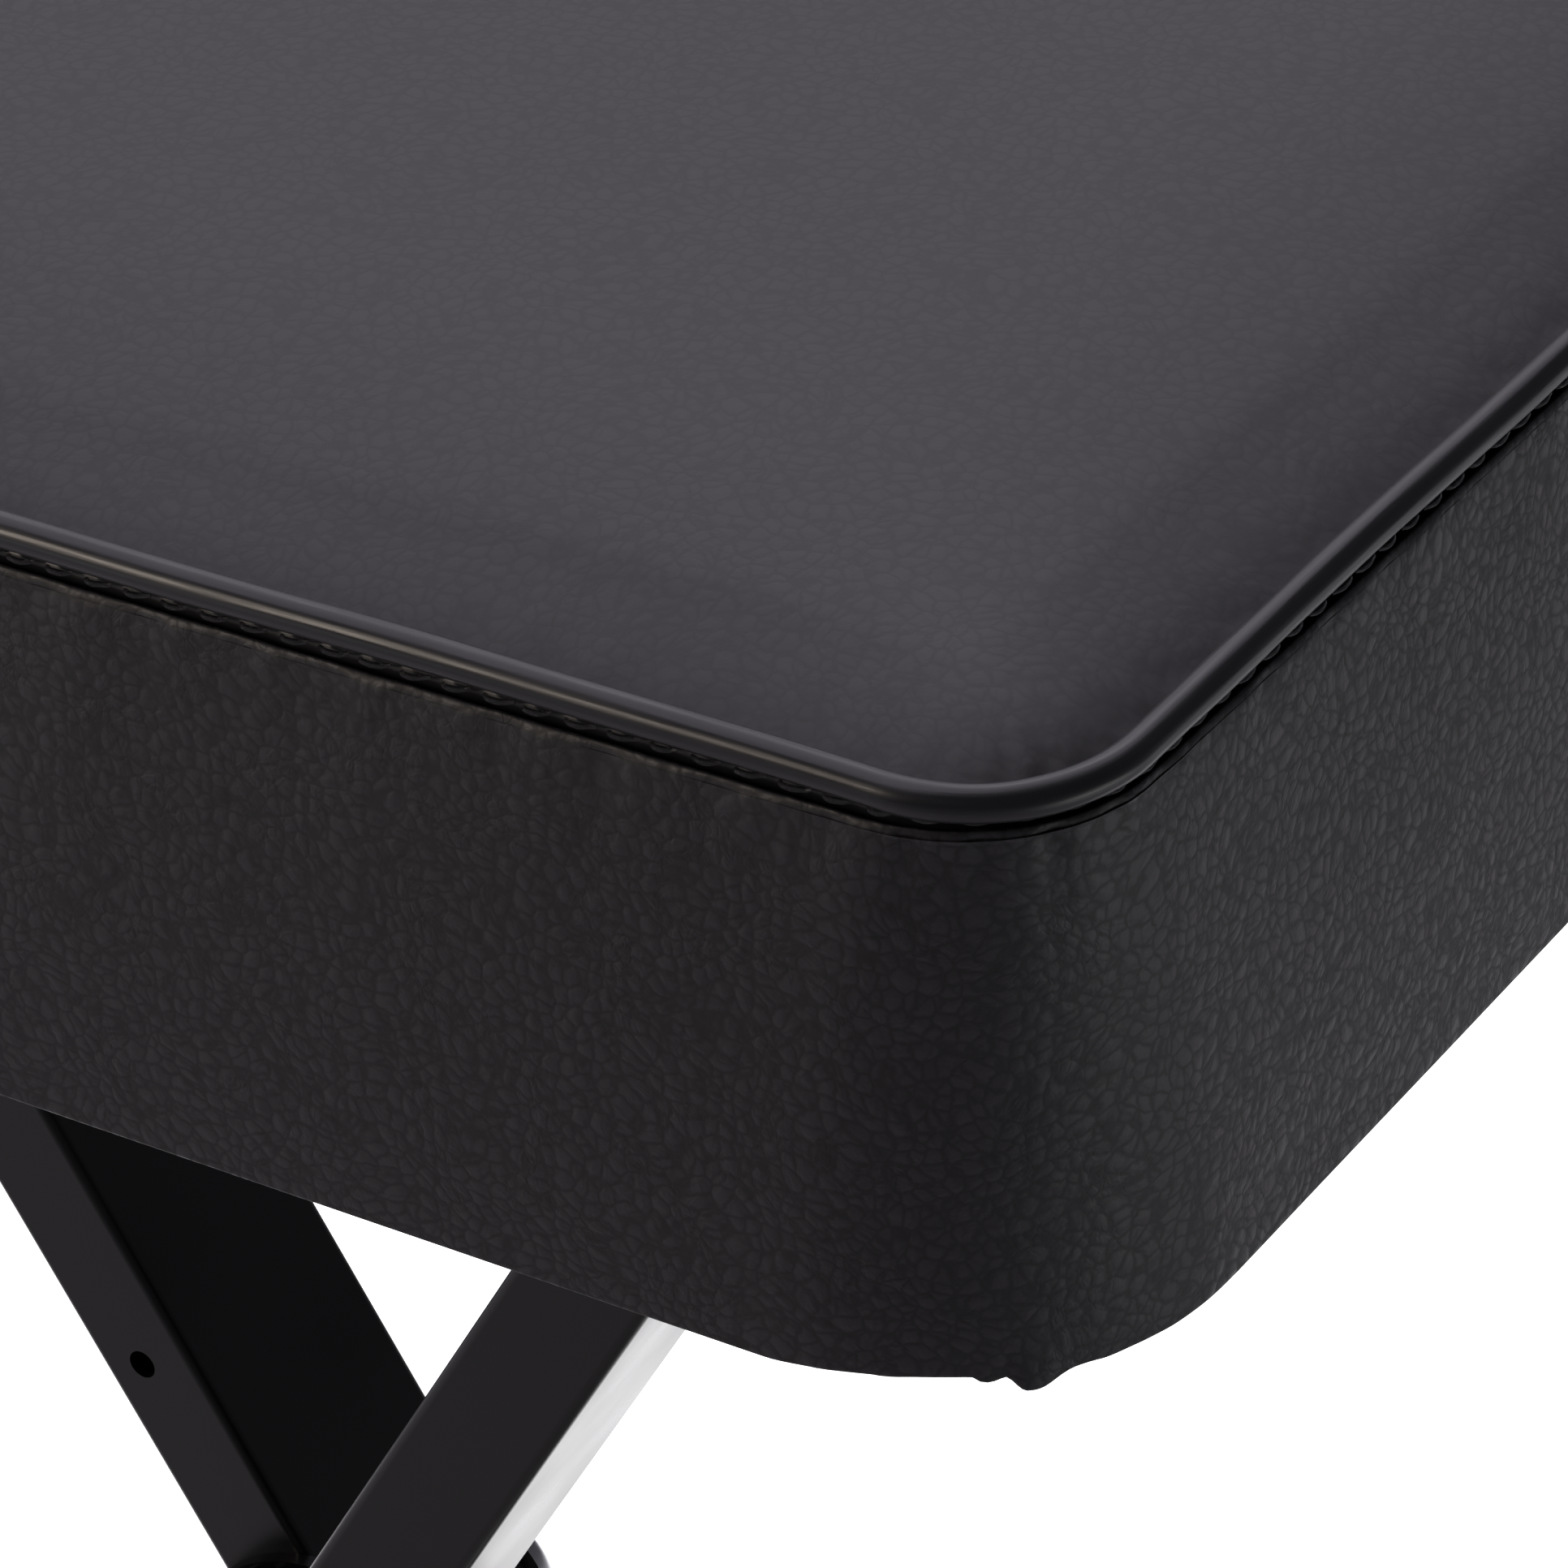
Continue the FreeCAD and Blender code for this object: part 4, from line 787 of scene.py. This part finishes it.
def makeWelt():
    path, outs = outlinePath(welt["inset"], weltHeight, welt["step"], welt["corner"])
    _, _, along = outlineOf(path, seat["seamCorner"])
    path = path + outs * pucker(along, 11, welt["wander"])[:, None]
    path[:, 2] += pucker(along, 12, welt["wave"])
    away = np.linalg.norm(np.abs(path[:, :2]) - (halfX, halfY), axis=1)
    path[:, 2] -= welt["cornerDip"] * np.exp(-(away / welt["dipReach"]) ** 2)
    radii = welt["radius"] * (1 + pucker(along, 13, welt["uneven"]))
    cord = sweep(path, radii, welt["sides"], outs)

    half = welt["flangeSheet"] / 2
    inner, innerOuts = outlinePath(welt["flangeInset"] + half, weltHeight - welt["radius"], welt["step"])
    _, _, innerAlong = outlineOf(inner, seat["seamCorner"])
    ripple = inner + innerOuts * pucker(innerAlong, 14, welt["flangeRipple"])[:, None]
    top = welt["flangeRise"]
    low = -welt["flangeDeep"]
    strip = np.stack([ripple + innerOuts * side + (0, 0, rise)
                      for side, rise in ((-half, top), (half, top), (half, low), (-half, low))], 1)
    count = len(strip)
    faces = []
    pairs = []
    for i in range(count):
        for k in range(4):
            j = (i + 1) % count
            m = (k + 1) % 4
            faces.append((i * 4 + k, j * 4 + k, j * 4 + m, i * 4 + m))
            pairs += [(i * welt["step"], k / 4)] * 4
    flange = (strip.reshape(-1, 3), faces, pairs)
    places, faces, pairs = gather([cord, flange])
    return makePiece("weltCord", places, faces, finish["welt"], pairs)


def makeStitches():
    height = weltHeight - welt["radius"] - welt["stitchDrop"]
    path, outs = outlinePath(welt["stitchInset"], height, welt["threadStep"])
    per = welt["stitch"] / welt["threadStep"]
    count = int(len(path) / per)
    dice = random.Random(21)
    share = np.linspace(0, 1, welt["stitchPlaces"])
    rise = np.sin(share * math.pi) ** 0.6
    radii = welt["thread"] * (welt["endThin"] + (1 - welt["endThin"]) * rise)
    parts = []
    for n in range(count):
        first = n * len(path) / count
        length = per * dice.uniform(*welt["showing"])
        ids = [int(first + length * k / (len(share) - 1)) % len(path) for k in range(len(share))]
        tilt = dice.uniform(*welt["tilt"])
        places = path[ids] + outs[ids] * (welt["stitchSink"] * (rise - 1))[:, None]
        places[:, 2] += (share - 0.5) * tilt + dice.uniform(-welt["jitter"], welt["jitter"])
        parts.append(sweep(places, radii, welt["threadSides"], outs[ids], closed=False))
    places, faces, pairs = gather(parts)
    return makePiece("weltStitches", places, faces, finish["thread"], pairs)


weltCord = makeWelt()
weltStitches = makeStitches()
for piece in (weltCord, weltStitches):
    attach(piece, "seat")
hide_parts("seat_piping")
print("welt made")


# Foam under the cover, the dust sheet below

foam = {"clear": 0.5 * mm, "wallInset": 0.8 * mm, "rows": 8}


def makeFoam():
    skin = seat["sheet"] + foam["clear"]
    top = underTop - (0, 0, skin)
    walls = []
    for z in np.linspace(topLow.z - skin, boardTop, foam["rows"]):
        nearSeam = z > seam - 3 * mm
        walls.append(ringAt(skin + (seat["panelInset"] if nearSeam else foam["wallInset"]), z))
    top[:, :2] *= (1 - skin / halfX, 1 - skin / halfY)
    places = np.concatenate([top, np.array(walls).reshape(-1, 3), [[0, 0, boardTop]]])
    faces = closedFaces(len(top), len(walls), len(places) - 1)
    return makePiece("foamPad", places, faces, finish["foam"])


foamPad = makeFoam()
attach(foamPad, "seat")
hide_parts("seat_foam")

dust = {"cell": 4 * mm, "lumps": (0.12 * mm, 26 * mm), "fold": 8 * mm, "foldDrop": 0.35 * mm}
dustLow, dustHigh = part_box("dust_cover")


def makeDustCover():
    # Cut sheet with its edges turned under, held flat by the staples.
    spanX, spanY = (np.linspace(low, high, 1 + round((high - low) / dust["cell"]))
                    for low, high in zip(dustLow[:2], dustHigh[:2]))
    flat = np.stack(np.meshgrid(spanX, spanY, indexing="ij"), -1).reshape(-1, 2)
    edge = np.minimum(dustHigh.x - np.abs(flat[:, 0]), dustHigh.y - np.abs(flat[:, 1]))
    lumps = softLumps(np.column_stack([flat, np.zeros(len(flat))]), dust["lumps"])
    places = np.column_stack([flat, np.full(len(flat), dustLow.z)])
    places[:, 2] += lumps - dust["foldDrop"] * (edge < dust["fold"])
    at = np.arange(len(flat)).reshape(len(spanX), len(spanY))
    faces = [(at[i, j], at[i, j + 1], at[i + 1, j + 1], at[i + 1, j])
             for i in range(len(spanX) - 1) for j in range(len(spanY) - 1)]
    return thicken(makePiece("dustSheet", places, faces, finish["spunbond"]), dustHigh.z - dustLow.z)


dustSheet = makeDustCover()
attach(dustSheet, "seat")
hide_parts("dust_cover")
print("foam and dust sheet made")


# Weld beads where the frame's tubes meet

weld = {
    "radius": 1.9 * mm, "ripple": 1.7 * mm, "step": 0.55 * mm, "sides": 10,
    "scallop": 0.14, "wander": (0.16, 9 * mm),    # as a share of the radius
}


def evenly(corners, step):  # points along a closed run of corners
    points = []
    corners = np.asarray(corners, float)
    for a, b in zip(corners, np.roll(corners, -1, 0)):
        count = max(1, round(np.linalg.norm(b - a) / step))
        points += [a + (b - a) * k / count for k in range(count)]
    return np.array(points)


def beadAlong(name, corners, centre, body, seed):
    path = evenly(corners, weld["step"])
    for _ in range(4):
        path = (np.roll(path, 1, 0) + path + np.roll(path, -1, 0)) / 3
    dice = random.Random(seed)
    scallop = np.abs(np.sin(np.arange(len(path)) * weld["step"] / weld["ripple"] * math.pi + dice.random()))
    radii = weld["radius"] * (1 - weld["scallop"] * (1 - scallop) + softLumps(path, weld["wander"]))
    outward = path - np.asarray(centre, float)
    places, faces, pairs = sweep(path, radii, weld["sides"], outward)
    piece = makePiece(name, places, faces, finish["powder"], pairs)
    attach(piece, body)
    return piece


jointAt = {j["name"]: j for j in frame["joints"]}
pivot = Vector(jointAt["centre_fold"]["pos_m"])
legs = {"thin": 20 * mm, "wide": 40 * mm, "crossRadius": 12.5 * mm}    # tube, and radius of the cross tube


def legWelds(side):
    # side 1 is the front leg, from the top right to the bottom left; side -1 the rear leg.
    leg = "front" if side > 0 else "rear"
    topPin = Vector(jointAt["seat_fold"]["pos_m"])
    top = Vector((side * topPin.x, 0, topPin.z))
    along = (top - pivot).normalized()
    across = Vector((along.z, 0, -along.x))
    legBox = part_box(leg + "_leg_tube")
    middle = (legBox[0].y + legBox[1].y) / 2
    halfThin = legs["thin"] / 2
    halfWide = legs["wide"] / 2
    radius = legs["crossRadius"]
    corners = []
    sweepTurn = math.asin(halfThin / radius)
    for turnSide, y in ((-1, -halfWide), (1, halfWide)):
        for k in range(9):
            turn = turnSide * sweepTurn * (1 - k / 4)
            spot = top + across * math.sin(turn) * radius - along * math.cos(turn) * radius
            corners.append((spot.x, middle + y, spot.z))
    centre = (top.x, middle, top.z)
    beadAlong(leg + "TopWeld", corners, centre, leg + "_leg", 31 + side)
    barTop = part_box(leg + "_foot_bar")[1].z
    reach = (pivot.z - barTop) / along.z
    foot = pivot - along * reach
    halfFoot = halfThin / along.z
    square = [(foot.x + x * halfFoot, middle + y * halfWide, barTop)
              for x, y in ((-1, -1), (1, -1), (1, 1), (-1, 1))]
    beadAlong(leg + "FootWeld", square, (foot.x, middle, barTop), leg + "_leg", 41 + side)


legWelds(1)
legWelds(-1)
print("welds made")


# Finishes of the CAD nodes

nodeFinish = {
    "ply": ["seat_board"],
    "powder": ["front_rail", "rear_rail", "front_leg_tube", "rear_leg_tube", "front_top_tube",
               "rear_top_tube", "front_foot_bar", "rear_foot_bar", "front_clutch_disc",
               "rear_clutch_disc"],
    "zinc": ["board_t_nuts", "cover_staples", "rail_screws", "hinge_rod", "hinge_washers", "hinge_nuts",
             "front_pivot_sleeve", "rear_pivot_sleeve", "rear_top_plugs", "slide_rod", "slide_washers",
             "slide_nuts", "pivot_bolt", "clamp_washer"],
    "nylon": ["front_top_bushes", "slide_bushes"],
    "rubber": ["front_foot_caps", "rear_foot_caps"],
    "knob": ["clamp_knob"],
    "brass": ["knob_insert"],
}
for kind, names in nodeFinish.items():
    for name in names:
        mesh = nodes[name].data
        mesh.materials.clear()
        mesh.materials.append(finish[kind])
print("CAD nodes finished:", sum(len(names) for names in nodeFinish.values()))


# Stage, lights and camera

stage = {
    "size": 9.0, "floor": "#dcdbdd", "world": "#f8f2ff", "worldStrength": 0.09,
    "glows": {  # painted pools of light, where the floor itself glows: centre, inner and outer radius, strength
        "behind": ((-0.16, 0.42), 0.2, 0.66, 1.8),
        "farLeft": ((-1.7, -1.5), 0.1, 1.4, 1.2),
        "right": ((1.4, 0.0), 0.1, 0.9, 1.4),
        "backRight": ((0.9, 1.1), 0.1, 1.0, 0.4),
        "backLeft": ((-1.4, 1.4), 0.1, 1.6, 0.3),
    },
}


def makeFloor():
    half = stage["size"] / 2
    corners = [(-half, -half, 0), (half, -half, 0), (half, half, 0), (-half, half, 0)]
    material, tree, place = startMaterial("studio paper with painted glow", {
        "Base Color": paint(stage["floor"]), "Roughness": 0.9, "Emission Color": (1, 1, 1, 1)})
    total = None
    for centre, inner, outer, strength in stage["glows"].values():
        apart = addNode(tree, "ShaderNodeVectorMath", {0: place, 1: (*centre, 0)}, operation="DISTANCE")
        pool = addNode(tree, "ShaderNodeMapRange", {
            "Value": apart.outputs["Value"], "From Min": inner, "From Max": outer,
            "To Min": strength, "To Max": 0.0}, interpolation_type="SMOOTHERSTEP").outputs["Result"]
        if total is not None:
            pool = addNode(tree, "ShaderNodeMath", {0: total, 1: pool}, operation="ADD").outputs[0]
        total = pool
    # the pools drive the floor's emission: painted light, the floor glows though it is no lamp
    tree.links.new(total, tree.nodes["Principled BSDF"].inputs["Emission Strength"])
    floor = makePiece("studioFloor", corners, [(0, 1, 2, 3)], material)


lamps = {  # places in metres, powers in watts, spread in degrees
    "overheadBox": {"place": (-0.7, 0.35, 2.4), "aim": (-0.1, 0.1, 0.5), "size": (3.0, 2.2), "power": 24},
    "frontStrip": {"place": (-0.82, -1.27, 0.98), "aim": (0, 0, 0.52), "size": (0.6, 0.46), "power": 2.0,
                   "tint": "#fff0e2", "spread": 100},
    "backPanel": {"place": (-1.1, 2.1, 1.95), "aim": (0, 0, 0.55), "size": (2.8, 2.0), "power": 14.5},
}


def addLight(name, place, aim, size, power, tint="#f8f2ff", spread=180):
    data = bpy.data.lights.new(name, "AREA")
    data.shape = "RECTANGLE"
    data.size, data.size_y = size
    data.energy = power
    data.spread = math.radians(spread)
    data.color = paint(tint)[:3]
    lamp = bpy.data.objects.new(name, data)
    lamp.location = place
    lamp.rotation_mode = "QUATERNION"
    lamp.rotation_quaternion = (Vector(aim) - Vector(place)).to_track_quat("-Z", "Y")
    lamp.visible_camera = False
    scene.collection.objects.link(lamp)


def lightStudio():
    world = bpy.data.worlds.new("studio")
    world.use_nodes = True
    sky = world.node_tree.nodes["Background"].inputs
    sky["Color"].default_value = paint(stage["world"])
    sky["Strength"].default_value = stage["worldStrength"]
    scene.world = world
    for name, lamp in lamps.items():
        addLight(name, **lamp)


camera = {
    "place": (0.53006, -0.64603, 0.91591), "azimuth": 33.833, "elevation": 31.333, "roll": -2.884,
    "focal": 8062.4, "frameWide": 1932, "sensor": 36.0,  # focal length and frame width in pixels
}


def placeCamera():
    data = bpy.data.cameras.new("camera")
    data.sensor_width = camera["sensor"]
    data.lens = camera["focal"] * camera["sensor"] / camera["frameWide"]
    data.clip_start = 0.05
    data.clip_end = 50
    lens = bpy.data.objects.new("camera", data)
    pose = Matrix.Translation(camera["place"])
    for angle, axis in ((camera["azimuth"], "Z"), (90 - camera["elevation"], "X"), (camera["roll"], "Z")):
        pose = pose @ Matrix.Rotation(math.radians(angle), 4, axis)
    lens.matrix_world = pose
    scene.collection.objects.link(lens)
    scene.camera = lens


makeFloor()
lightStudio()
placeCamera()
scene.view_settings.view_transform = "Standard"
print("stage set")
